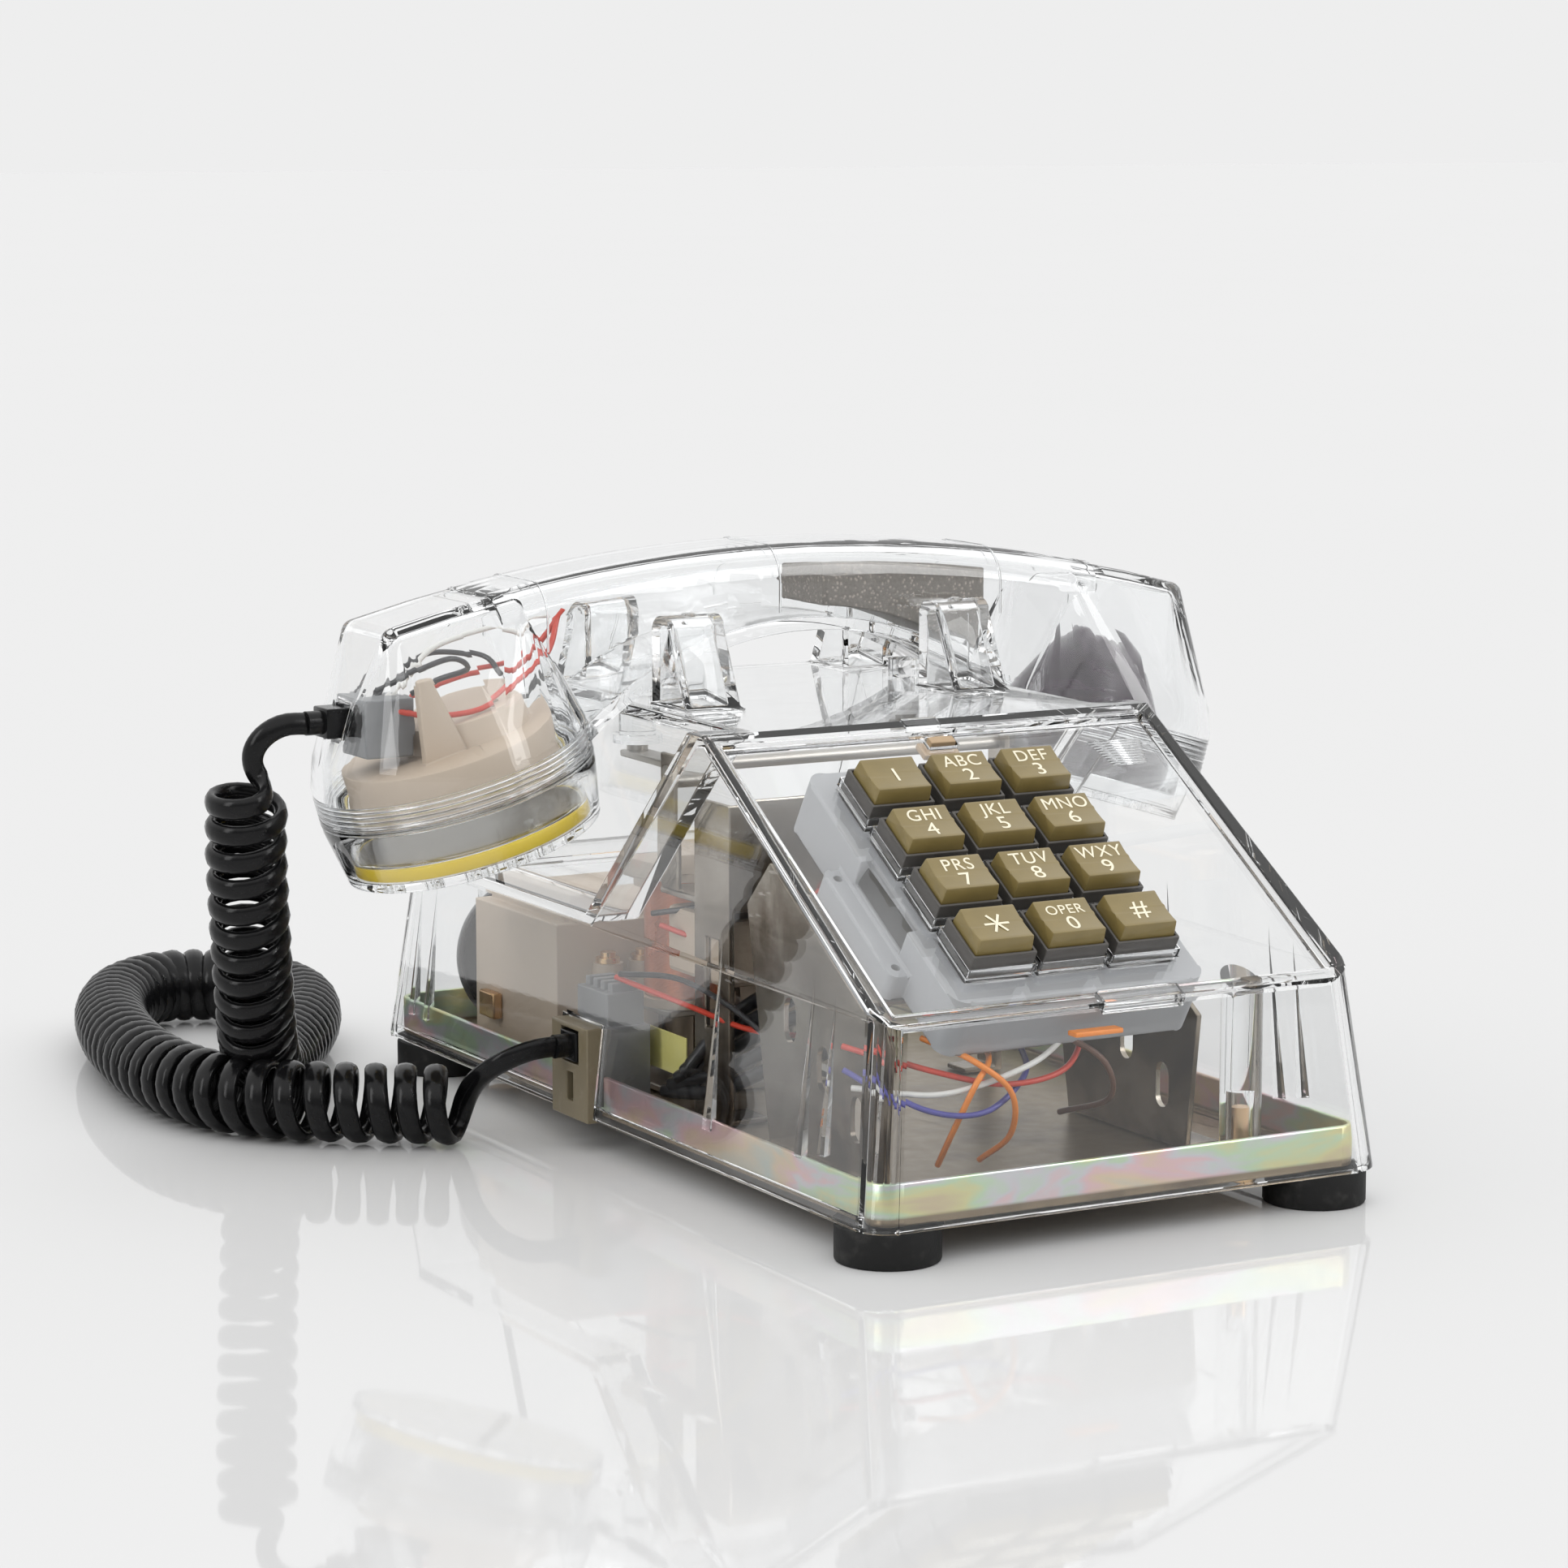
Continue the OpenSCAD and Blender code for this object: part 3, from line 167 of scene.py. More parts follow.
class StageSettings(bpy.types.PropertyGroup):
    sky: bpy.props.FloatProperty(
        name="Overhead Light", description="Strength of the light from above", default=1.38)
    horizon: bpy.props.FloatProperty(
        name="Background", description="Brightness of the background", default=0.855)
    strip: bpy.props.FloatProperty(
        name="Side Lights", description="Power of the two side lights", default=14.0, unit="POWER")
    floor_gloss: bpy.props.FloatProperty(
        name="Floor Gloss", description="Share of the floor that mirrors", default=0.16, subtype="FACTOR")


SETTINGS = {
    "cord": CordSettings, "shell": ShellSettings, "keys": KeySettings, "inside": InsideSettings,
    "stage": StageSettings}


# ---------- shader building ----------
class Value:
    """A number socket that takes part in sums."""

    def __init__(self, tree, socket):
        self.tree = tree
        self.socket = socket

    def combine(self, operation, first, second):
        node = self.tree.nodes.new("ShaderNodeMath")
        node.operation = operation
        for slot, part in zip(node.inputs, (first, second)):
            if isinstance(part, Value):
                self.tree.links.new(part.socket, slot)
            else:
                slot.default_value = part
        return Value(self.tree, node.outputs[0])

    def __add__(self, other):
        return self.combine("ADD", self, other)

    def __radd__(self, other):
        return self.combine("ADD", other, self)

    def __sub__(self, other):
        return self.combine("SUBTRACT", self, other)

    def __rsub__(self, other):
        return self.combine("SUBTRACT", other, self)

    def __mul__(self, other):
        return self.combine("MULTIPLY", self, other)

    def __rmul__(self, other):
        return self.combine("MULTIPLY", other, self)

    def most(self, other):
        return self.combine("MAXIMUM", self, other)


class Finish:
    """One shader tree and the ways to add to it."""

    def __init__(self, tree):
        self.tree = tree
        tree.nodes.clear()

    def node(self, kind, settings=None, sockets=None):
        node = self.tree.nodes.new(kind)
        for key, value in (settings or {}).items():
            if key == "stops":
                ramp = node.color_ramp
                while len(ramp.elements) > 1:
                    ramp.elements.remove(ramp.elements[-1])
                for i, (place, colour) in enumerate(value):
                    stop = ramp.elements[0] if i == 0 else ramp.elements.new(place)
                    stop.position = place
                    stop.color = (*colour, 1)
            else:
                setattr(node, key, value)
        for key, value in (sockets or {}).items():
            slot = node.inputs[key]
            value = value.socket if isinstance(value, Value) else value
            if isinstance(value, bpy.types.NodeSocket):
                self.tree.links.new(value, slot)
            elif slot.type == "RGBA" and len(value) == 3:
                slot.default_value = (*value, 1)
            else:
                slot.default_value = value
        return node

    def value(self, node, output=0):
        return Value(self.tree, node.outputs[output])

    def place(self):
        return self.node("ShaderNodeTexCoord").outputs["Object"]

    def stretched(self, scale):
        return self.node("ShaderNodeMapping", sockets={"Vector": self.place(), "Scale": scale}).outputs[0]

    def noise(self, scale, detail=3.0, where=None, distortion=0.0):
        sockets = {"Vector": where or self.place(), "Scale": scale, "Detail": detail, "Distortion": distortion}
        return self.value(self.node("ShaderNodeTexNoise", sockets=sockets), "Fac")

    def cells(self, scale, where=None):
        sockets = {"Vector": where or self.place(), "Scale": scale}
        return self.value(self.node("ShaderNodeTexVoronoi", sockets=sockets), "Distance")

    def band(self, value, low, high):
        sockets = {"Value": value, "From Min": low, "From Max": high}
        return self.value(self.node("ShaderNodeMapRange", {"interpolation_type": "SMOOTHSTEP"}, sockets))

    def ramp(self, value, stops):
        return self.node("ShaderNodeValToRGB", {"stops": stops}, {"Fac": value}).outputs["Color"]

    def mix(self, share, first, second, blend="MIX"):
        settings = {"data_type": "RGBA", "blend_type": blend}
        return self.node("ShaderNodeMix", settings, {0: share, 6: first, 7: second}).outputs[2]

    def bump(self, height, distance, strength=1.0):
        sockets = {"Height": height, "Distance": distance, "Strength": strength}
        return self.node("ShaderNodeBump", sockets=sockets).outputs[0]

    def surface(self, **sockets):
        named = {key.replace("_", " "): value for key, value in sockets.items()}
        return self.node("ShaderNodeBsdfPrincipled", sockets=named).outputs[0]

    def blend(self, share, first, second):
        return self.node("ShaderNodeMixShader", sockets={0: share, 1: first, 2: second}).outputs[0]

    def end(self, shader):
        kind = "World" if isinstance(self.tree.id_data, bpy.types.World) else "Material"
        self.node("ShaderNodeOutput" + kind, sockets={"Surface": shader})


MADE = {}


def finish(maker):
    """Makes each named material once, on first use."""

    def ready():
        name = maker.__name__
        if name not in MADE:
            material = bpy.data.materials.new(name)
            material.use_nodes = True
            maker(Finish(material.node_tree))
            MADE[name] = material
        return MADE[name]

    return ready


def see_through(f, surface, clear=(0.97, 0.975, 0.98)):
    """Lets the light that fills the inside pass a clear wall without bending."""
    path = f.node("ShaderNodeLightPath")
    passing = f.value(path, "Is Shadow Ray").most(f.value(path, "Is Diffuse Ray"))
    f.end(f.blend(passing, surface, f.node("ShaderNodeBsdfTransparent", sockets={"Color": clear}).outputs[0]))


@finish
def clear_acrylic(f):
    tint = bpy.context.scene.phone_shell.tint
    smudge = f.noise(38, 4)
    flow = f.noise(24, 2, f.stretched((1, 1, 0.35)), 0.4)
    colour = f.mix(smudge, tuple(tint), (0.975, 0.982, 0.985))
    scratch = f.noise(900, 2, f.stretched((1, 0.12, 1)))
    see_through(f, f.surface(
        Base_Color=colour, Roughness=0.004 + 0.02 * f.band(smudge, 0.55, 0.9), IOR=1.49, Transmission_Weight=1.0,
        Normal=f.bump(flow + 0.01 * scratch, 0.0004, 0.12)))


@finish
def clear_handset(f):
    smudge = f.noise(46, 4)
    flow = f.noise(30, 2, f.stretched((0.3, 1, 1)), 0.5)
    colour = f.mix(smudge, (0.985, 0.99, 0.992), (0.972, 0.98, 0.985))
    see_through(f, f.surface(
        Base_Color=colour, Roughness=0.006 + 0.02 * f.band(smudge, 0.55, 0.9), IOR=1.49, Transmission_Weight=1.0,
        Normal=f.bump(flow, 0.0006, 0.2)))


@finish
def smoke_frame(f):
    cloud = f.noise(45, 4)
    colour = f.mix(cloud, (0.31, 0.315, 0.325), (0.37, 0.375, 0.385))
    grain = f.noise(1500, 2)
    f.end(f.surface(Base_Color=colour, Roughness=0.4 + 0.12 * cloud, IOR=1.47, Normal=f.bump(grain, 0.00003, 0.4)))


@finish
def key_bronze(f):
    base = tuple(bpy.context.scene.phone_keys.cap_colour)
    worn = f.noise(260, 4)
    grain = f.noise(2600, 2)
    lighter = tuple(c * 1.35 for c in base)
    f.end(f.surface(Base_Color=f.mix(worn, base, lighter), Roughness=0.24 + 0.18 * worn, IOR=1.5, Coat_Weight=0.15,
                    Normal=f.bump(grain, 0.00002, 0.5)))


@finish
def legend_cream(f):
    base = tuple(bpy.context.scene.phone_keys.legend_colour)
    worn = f.noise(900, 3)
    f.end(f.surface(Base_Color=f.mix(worn, base, tuple(c * 0.86 for c in base)), Roughness=0.42 + 0.15 * worn))


@finish
def black_cord(f):
    sheen = f.noise(420, 3)
    colour = f.mix(sheen, (0.0035, 0.0035, 0.0038), (0.009, 0.009, 0.0095))
    f.end(f.surface(Base_Color=colour, Roughness=0.12 + 0.14 * sheen, Specular_IOR_Level=0.22,
                    Normal=f.bump(f.noise(700, 3), 0.00008, 0.4)))


@finish
def black_rubber(f):
    dust = f.noise(240, 5)
    colour = f.mix(f.band(dust, 0.5, 0.9), (0.012, 0.012, 0.012), (0.045, 0.044, 0.042))
    f.end(f.surface(Base_Color=colour, Roughness=0.5 + 0.25 * dust, Specular_IOR_Level=0.2,
                    Normal=f.bump(f.noise(1600, 3), 0.00008, 0.6)))


@finish
def chromate_steel(f):
    """Passivated zinc: pink, green and yellow clouds over steel."""
    cloud = f.noise(26, 3, f.stretched((1, 1, 3.2)), 0.7)
    fine = f.noise(300, 4)
    rainbow = f.ramp(cloud + 0.06 * fine, [
        (0.30, (0.60, 0.50, 0.34)), (0.40, (0.66, 0.63, 0.34)), (0.47, (0.52, 0.66, 0.47)),
        (0.53, (0.60, 0.60, 0.62)),
        (0.60, (0.72, 0.50, 0.52)), (0.68, (0.70, 0.56, 0.40)), (0.80, (0.50, 0.56, 0.52))])
    worn = f.band(f.noise(60, 5), 0.45, 0.75)
    height = f.value(f.node("ShaderNodeSeparateXYZ", sockets={0: f.place()}), 2)
    dull = f.mix(worn, (0.25, 0.195, 0.13), (0.14, 0.105, 0.072))
    colour = f.mix(f.band(height, 0.0096, 0.0106), dull, rainbow)
    f.end(f.surface(Base_Color=colour, Metallic=0.85 - 0.25 * worn, Roughness=0.24 + 0.2 * fine,
                    Normal=f.bump(f.noise(500, 3, f.stretched((1, 0.1, 1))), 0.00004, 0.5)))


@finish
def plain_steel(f):
    brushed = f.noise(420, 3, f.stretched((0.08, 1, 1)))
    cloud = f.noise(40, 4)
    colour = f.mix(cloud, (0.30, 0.275, 0.245), (0.47, 0.45, 0.42))
    f.end(f.surface(Base_Color=colour, Metallic=0.95 - 0.1 * cloud, Roughness=0.27 + 0.12 * brushed,
                    Normal=f.bump(brushed, 0.00001, 0.5)))


@finish
def aged_steel(f):
    """Oily inside steel: warm brown stains over a dull sheet."""
    stain = f.noise(34, 5, None, 0.8)
    brushed = f.noise(420, 3, f.stretched((1, 1, 0.08)))
    colour = f.ramp(stain + 0.02 * brushed, [
        (0.36, (0.085, 0.068, 0.052)), (0.47, (0.23, 0.19, 0.145)), (0.56, (0.34, 0.30, 0.25)),
        (0.70, (0.50, 0.46, 0.40))])
    f.end(f.surface(Base_Color=colour, Metallic=0.95 - 0.15 * stain, Roughness=0.22 + 0.05 * brushed,
                    Normal=f.bump(brushed, 0.000004, 0.5)))


@finish
def beige_moulding(f):
    base = tuple(bpy.context.scene.phone_inside.beige)
    cloud = f.noise(60, 4)
    stain = f.band(f.noise(22, 5, None, 0.6), 0.52, 0.78)
    grain = f.noise(1400, 2)
    colour = f.mix(0.45 * stain, f.mix(cloud, base, tuple(c * 1.16 for c in base)), tuple(c * 0.62 for c in base))
    f.end(f.surface(Base_Color=colour, Roughness=0.4 + 0.2 * cloud, Normal=f.bump(grain, 0.00004, 0.6)))


@finish
def copper_winding(f):
    """Enamelled wire in close turns, seen as fine bands across the coil."""
    turns = f.value(f.node("ShaderNodeTexWave", {"wave_type": "BANDS", "bands_direction": "Z"},
                           {"Vector": f.place(), "Scale": 1400.0, "Distortion": 0.8, "Detail": 1.0}), "Fac")
    cloud = f.noise(90, 4)
    colour = f.mix(cloud, f.mix(turns, (0.20, 0.035, 0.012), (0.62, 0.16, 0.06)), (0.70, 0.24, 0.10))
    f.end(f.surface(Base_Color=colour, Metallic=0.35 + 0.3 * turns, Roughness=0.2 + 0.2 * cloud, Coat_Weight=0.6,
                    Normal=f.bump(turns, 0.0001, 0.7)))


@finish
def olive_moulding(f):
    cloud = f.noise(110, 4)
    worn = f.band(f.noise(300, 4), 0.55, 0.8)
    colour = f.mix(0.4 * worn, f.mix(cloud, (0.150, 0.122, 0.075), (0.215, 0.180, 0.115)), (0.33, 0.29, 0.22))
    f.end(f.surface(Base_Color=colour, Roughness=0.28 + 0.2 * cloud, Normal=f.bump(f.noise(1200, 2), 0.00004, 0.5)))


@finish
def circuit_board(f):
    tracks = f.cells(300)
    colour = f.mix(f.band(tracks, 0.2, 0.3), (0.030, 0.085, 0.035), (0.055, 0.15, 0.06))
    f.end(f.surface(Base_Color=colour, Roughness=0.3 + 0.2 * f.noise(400), Normal=f.bump(tracks, 0.00005, 0.4)))


@finish
def brass_screw(f):
    cloud = f.noise(180, 4)
    brushed = f.noise(900, 3, f.stretched((1, 1, 0.1)))
    colour = f.mix(cloud, (0.62, 0.36, 0.19), (0.74, 0.53, 0.28))
    f.end(f.surface(Base_Color=colour, Metallic=0.9 + 0.1 * cloud, Roughness=0.2 + 0.2 * brushed,
                    Normal=f.bump(brushed, 0.00004, 0.5)))


@finish
def gong_grey(f):
    cloud = f.noise(50, 5)
    f.end(f.surface(Base_Color=f.mix(cloud, (0.05, 0.052, 0.055), (0.11, 0.112, 0.115)), Metallic=0.3 + 0.2 * cloud,
                    Roughness=0.28 + 0.2 * cloud, Normal=f.bump(f.noise(700, 3), 0.00005, 0.5)))


@finish
def dark_capsule(f):
    swirl = f.noise(60, 3, f.stretched((1, 1, 4)), 1.5)
    colour = f.ramp(swirl, [
        (0.3, (0.006, 0.004, 0.006)), (0.5, (0.030, 0.014, 0.028)), (0.62, (0.012, 0.006, 0.012)),
        (0.8, (0.045, 0.024, 0.030))])
    f.end(f.surface(Base_Color=colour, Roughness=0.12 + 0.2 * swirl, Coat_Weight=0.5,
                    Normal=f.bump(swirl, 0.0003, 0.5)))


@finish
def speckled_weight(f):
    fleck = f.cells(950)
    cloud = f.noise(130, 5)
    dull = f.mix(cloud, (0.13, 0.115, 0.10), (0.22, 0.20, 0.175))
    colour = f.mix(f.band(fleck, 0.15, 0.4), (0.34, 0.30, 0.26), dull)
    f.end(f.surface(Base_Color=colour, Metallic=0.25 + 0.2 * cloud, Roughness=0.45 + 0.2 * cloud,
                    Normal=f.bump(fleck, 0.00015, 0.6)))


@finish
def yellow_label(f):
    cloud = f.noise(160, 5)
    f.end(f.surface(Base_Color=f.mix(cloud, (0.72, 0.66, 0.18), (0.82, 0.78, 0.34)), Roughness=0.4 + 0.2 * cloud,
                    Normal=f.bump(cloud, 0.0002, 0.4)))


def plain_finish(name, dark, light, cloud=(500, 3), rough=(0.25, 0.2), grain=(1500, 0.00003)):
    """A plain moulding or wire cover: clouds between two shades, and a fine grain."""

    def maker(f):
        shade = f.noise(*cloud)
        f.end(f.surface(Base_Color=f.mix(shade, dark, light), Roughness=rough[0] + rough[1] * shade,
                        Normal=f.bump(f.noise(grain[0], 2), grain[1], 0.5)))

    maker.__name__ = name
    return finish(maker)


collar_grey = plain_finish(
    "collar_grey", (0.060, 0.056, 0.052), (0.105, 0.098, 0.090), (160, 4), (0.34, 0.16), (1800, 0.00003))
grey_moulding = plain_finish(
    "grey_moulding", (0.15, 0.155, 0.16), (0.23, 0.235, 0.24), (90, 4), (0.3, 0.2), (1500, 0.00004))
grey_silicone = plain_finish(
    "grey_silicone", (0.14, 0.14, 0.14), (0.21, 0.21, 0.21), (120, 4), (0.5, 0.2), (900, 0.00004))
yellow_gasket = plain_finish(
    "yellow_gasket", (0.62, 0.42, 0.02), (0.80, 0.62, 0.06), (70, 4), (0.35, 0.2), (900, 0.00005))
red_wire = plain_finish("red_wire", (0.45, 0.030, 0.014), (0.62, 0.055, 0.025))
orange_wire = plain_finish("orange_wire", (0.72, 0.19, 0.015), (0.86, 0.28, 0.03))
blue_wire = plain_finish("blue_wire", (0.04, 0.04, 0.22), (0.09, 0.08, 0.34))
black_wire = plain_finish("black_wire", (0.008, 0.008, 0.009), (0.022, 0.022, 0.024))
brown_wire = plain_finish("brown_wire", (0.08, 0.035, 0.02), (0.14, 0.065, 0.035))
white_wire = plain_finish("white_wire", (0.60, 0.59, 0.55), (0.74, 0.73, 0.70))
tan_film = plain_finish("tan_film", (0.36, 0.24, 0.13), (0.50, 0.36, 0.22))

FINISH_OF_SLOT = {
    "clear_shell": clear_acrylic, "grey_frame": smoke_frame, "dark_collar": collar_grey, "key_bronze": key_bronze,
    "chromate_steel": chromate_steel, "plain_steel": plain_steel, "black_rubber": black_rubber,
    "beige_plastic": beige_moulding, "copper_winding": copper_winding, "grey_plastic": grey_moulding,
    "olive_plastic": olive_moulding, "green_board": circuit_board, "grey_silicone": grey_silicone,
    "brass_screw": brass_screw, "gong_metal": gong_grey, "dark_capsule": dark_capsule,
    "weight_metal": speckled_weight, "yellow_gasket": yellow_gasket, "black_cord": black_cord,
}


# ---------- shape helpers ----------
LEVEL_AREA = 6e-6
WALL_AREA = 300e-6
LEAST_BEND, CURVE_STEP = 0.7, 13.0
WELD = 0.000004
LEVEL_BEND = 0.6


def spot(x, y, z):
    return Vector((x, y, z)) * MM


def on_face(x, s, h):
    """A point of the key face in metres: across, down the slope and out of it."""
    turn = Matrix.Rotation(FACE_ANGLE, 3, "X")
    return (Vector((0, FACE_TOP_Y, DECK_Z)) + turn @ Vector((x, -s, h))) * MM


def face_frame(x, s, h):
    return Matrix.Translation(on_face(x, s, h)) @ Matrix.Rotation(FACE_ANGLE, 4, "X")


def cup_frame(side, x=0.0, y=0.0, h=0.0):
    """A cup's own frame: the cap's face at the origin, Z up the cup."""
    return (Matrix.Translation(spot(side * CAP_X, HANDSET_Y, CAP_Z))
            @ Matrix.Rotation(math.radians(side * CUP_TILT), 4, "Y") @ Matrix.Translation(spot(x, y, h)))


def smooth_line(points, step):
    """Even points along a smooth curve through the given ones."""
    p = [np.array(q, float) for q in points]
    p = [2 * p[0] - p[1], *p, 2 * p[-1] - p[-2]]
    out = []
    for a, b, c, d in zip(p, p[1:], p[2:], p[3:]):
        t = np.linspace(0, 1, 24, endpoint=False)[:, None]
        out.append(0.5 * (2 * b + (c - a) * t + (2 * a - 5 * b + 4 * c - d) * t * t + (3 * b - a - 3 * c + d) * t**3))
    line = np.vstack([*out, p[-2][None]])
    length = np.concatenate([[0], np.cumsum(np.linalg.norm(np.diff(line, axis=0), axis=1))])
    places = np.linspace(0, length[-1], max(3, int(round(length[-1] / step)) + 1))
    return np.stack([np.interp(places, length, line[:, k]) for k in range(3)], 1)


def new_object(name, mesh):
    made = bpy.data.objects.new(name, mesh)
    bpy.context.scene.collection.objects.link(made)
    return made


def settle(piece, body, material=None, replaces=(), slot=None):
    """Puts a finished piece on its body with its material; the record slot is not used."""
    if material is not None:
        piece.data.materials.clear()
        piece.data.materials.append(material)
    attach(piece, body)
    if replaces:
        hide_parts(*replaces)
    return piece


def smooth_by_angle(mesh, degrees=32):
    """Smooth shading on curves and soft edges, exact flat shading on level faces."""
    work = bmesh.new()
    work.from_mesh(mesh)
    for face in work.faces:
        bends = [math.degrees(edge.calc_face_angle(math.pi)) for edge in face.edges if len(edge.link_faces) == 2]
        area = face.calc_area()
        curved = any(LEAST_BEND < bend < CURVE_STEP for bend in bends)
        face.smooth = area < LEVEL_AREA or (area < WALL_AREA and curved)
    for edge in work.edges:
        edge.smooth = len(edge.link_faces) == 2 and edge.calc_face_angle(math.pi) < math.radians(degrees)
    work.to_mesh(mesh)
    work.free()


def dress(node, material, edge=0.0, angle=38, segments=2, shortest=None):
    """A welded copy of a CAD node, its longer sharp edges softened, shown in its place."""
    source = frame["nodes"][node]
    shortest = 2 * edge if shortest is None else shortest
    piece = new_object(node + "_skin", source.data.copy())
    work = bmesh.new()
    work.from_mesh(piece.data)
    bmesh.ops.remove_doubles(work, verts=work.verts, dist=WELD)
    bmesh.ops.dissolve_degenerate(work, dist=WELD, edges=work.edges)
    bmesh.ops.dissolve_limit(work, angle_limit=math.radians(LEVEL_BEND), verts=work.verts, edges=work.edges)
    bmesh.ops.triangulate(work, faces=[face for face in work.faces if len(face.verts) > 4])
    weight = work.edges.layers.float.new("bevel_weight_edge")
    for line in work.edges:
        sharp = len(line.link_faces) == 2 and line.calc_face_angle(0) > math.radians(angle)
        line[weight] = float(sharp and line.calc_length() > shortest)
    work.to_mesh(piece.data)
    work.free()
    if edge:
        inside = np.array([v.co for v in piece.data.vertices])
        bevel = piece.modifiers.new("soft_edges", "BEVEL")
        bevel.width = edge
        bevel.segments = segments
        bevel.limit_method = "WEIGHT"
        bevel.use_clamp_overlap = False
        piece.data = applied(piece)
        spots = np.array([v.co for v in piece.data.vertices])
        spots = np.clip(spots, inside.min(0), inside.max(0))
        piece.data.vertices.foreach_set("co", spots.ravel())
    smooth_by_angle(piece.data)
    return settle(piece, BODY_OF[node], material, [node], SLOT_OF[node])


def applied(piece):
    """The piece's mesh with its modifiers worked out, and the modifiers removed."""
    mesh = bpy.data.meshes.new_from_object(piece.evaluated_get(bpy.context.evaluated_depsgraph_get()))
    piece.modifiers.clear()
    return mesh


# ---------- geometry trees ----------
class Shaper:
    """A geometry tree with named inputs, run on a piece and turned into a plain mesh."""

    def __init__(self, name, inputs):
        self.tree = bpy.data.node_groups.new(name, "GeometryNodeTree")
        self.tree.interface.new_socket("Geometry", in_out="INPUT", socket_type="NodeSocketGeometry")
        self.tree.interface.new_socket("Geometry", in_out="OUTPUT", socket_type="NodeSocketGeometry")
        self.keys = {}
        for label, kind in {**inputs, "Material": "Material"}.items():
            socket = self.tree.interface.new_socket(label, in_out="INPUT", socket_type="NodeSocket" + kind)
            self.keys[label] = socket.identifier
        self.start = self.tree.nodes.new("NodeGroupInput")

    def node(self, kind, settings=None, sockets=None):
        node = self.tree.nodes.new(kind)
        for key, value in (settings or {}).items():
            setattr(node, key, value)
        for key, value in (sockets or {}).items():
            if isinstance(value, bpy.types.NodeSocket):
                self.tree.links.new(value, node.inputs[key])
            else:
                node.inputs[key].default_value = value
        return node

    def given(self, label):
        return self.start.outputs[label]

    def ring(self, steps, radius):
        return self.node("GeometryNodeCurvePrimitiveCircle", sockets={"Resolution": steps, "Radius": radius})

    def swept(self, path, profile, capped):
        sockets = {"Curve": path.outputs[0], "Profile Curve": profile.outputs[0], "Fill Caps": capped}
        return self.node("GeometryNodeCurveToMesh", sockets=sockets).outputs[0]

    def end(self, geometry):
        real = self.node("GeometryNodeRealizeInstances", sockets={"Geometry": geometry})
        soft = self.node("GeometryNodeSetShadeSmooth", sockets={"Geometry": real.outputs[0]})
        sockets = {"Geometry": soft.outputs[0], "Material": self.given("Material")}
        painted = self.node("GeometryNodeSetMaterial", sockets=sockets)
        out = self.tree.nodes.new("NodeGroupOutput")
        self.tree.links.new(painted.outputs[0], out.inputs[0])
        return self

    def run(self, name, mesh, values):
        piece = new_object(name, mesh)
        step = piece.modifiers.new("shape", "NODES")
        step.node_group = self.tree
        for label, value in values.items():
            step[self.keys[label]] = value
        piece.data = applied(piece)
        return piece


def tube_tree():
    """A round tube along a line of points."""
    s = Shaper("tube_along_path", {"Radius": "Float", "Sides": "Int"})
    line = s.node("GeometryNodeMeshToCurve", sockets={"Mesh": s.given("Geometry")})
    ring = s.ring(s.given("Sides"), s.given("Radius"))
    return s.end(s.swept(line, ring, True))


def flat_cord_tree():
    """A flat oval cord along a line of points, its short way along each point's facing."""
    s = Shaper("flat_cord_along_path", {"Thickness": "Float", "Width": "Float", "Sides": "Int"})
    line = s.node("GeometryNodeMeshToCurve", sockets={"Mesh": s.given("Geometry")})
    facing = s.node("GeometryNodeInputNamedAttribute", {"data_type": "FLOAT_VECTOR"}, {"Name": "facing"})
    sockets = {"Curve": line.outputs[0], "Normal": facing.outputs[0]}
    turned = s.node("GeometryNodeSetCurveNormal", {"mode": "FREE"}, sockets)
    ring = s.ring(s.given("Sides"), 0.5)
    size = s.node("ShaderNodeCombineXYZ", sockets={"X": s.given("Thickness"), "Y": s.given("Width"), "Z": 1.0})
    oval = s.node("GeometryNodeTransform", sockets={"Geometry": ring.outputs[0], "Scale": size.outputs[0]})
    return s.end(s.swept(turned, oval, True))


def ridge_tree():
    """Round ridges of one radius, stacked along Z at an even pitch."""
    s = Shaper("stacked_ridges", {"Radius": "Float", "Ridge": "Float", "Count": "Int", "Pitch": "Float"})
    step = s.node("ShaderNodeCombineXYZ", sockets={"Z": s.given("Pitch")})
    row = s.node("GeometryNodeMeshLine", sockets={"Count": s.given("Count"), "Offset": step.outputs[0]})
    ridge = s.swept(s.ring(96, s.given("Radius")), s.ring(6, s.given("Ridge")), False)
    rows = s.node("GeometryNodeInstanceOnPoints", sockets={"Points": row.outputs[0], "Instance": ridge})
    return s.end(rows.outputs[0])


def line_mesh(points):
    mesh = bpy.data.meshes.new("line")
    mesh.from_pydata([tuple(p) for p in points], [(i, i + 1) for i in range(len(points) - 1)], [])
    return mesh


TREES = {}


def tree(maker):
    if maker.__name__ not in TREES:
        TREES[maker.__name__] = maker()
    return TREES[maker.__name__]


def tube(name, points, diameter, material, sides=8):
    values = {"Radius": diameter / 2, "Sides": sides, "Material": material}
    return tree(tube_tree).run(name, line_mesh(points), values)


def block(name, size, place, edge=0.4):
    """A box with rounded edges, its size in millimetres, set by a matrix in metres."""
    work = bmesh.new()
    bmesh.ops.create_cube(work, size=1)
    bmesh.ops.transform(work, matrix=Matrix.Diagonal((*[v * MM for v in size], 1)), verts=work.verts)
    bmesh.ops.bevel(work, geom=work.edges[:], offset=edge * MM, segments=2, profile=0.5, affect="EDGES")
    bmesh.ops.transform(work, matrix=place, verts=work.verts)
    mesh = bpy.data.meshes.new(name)
    work.to_mesh(mesh)
    work.free()
    return new_object(name, mesh)


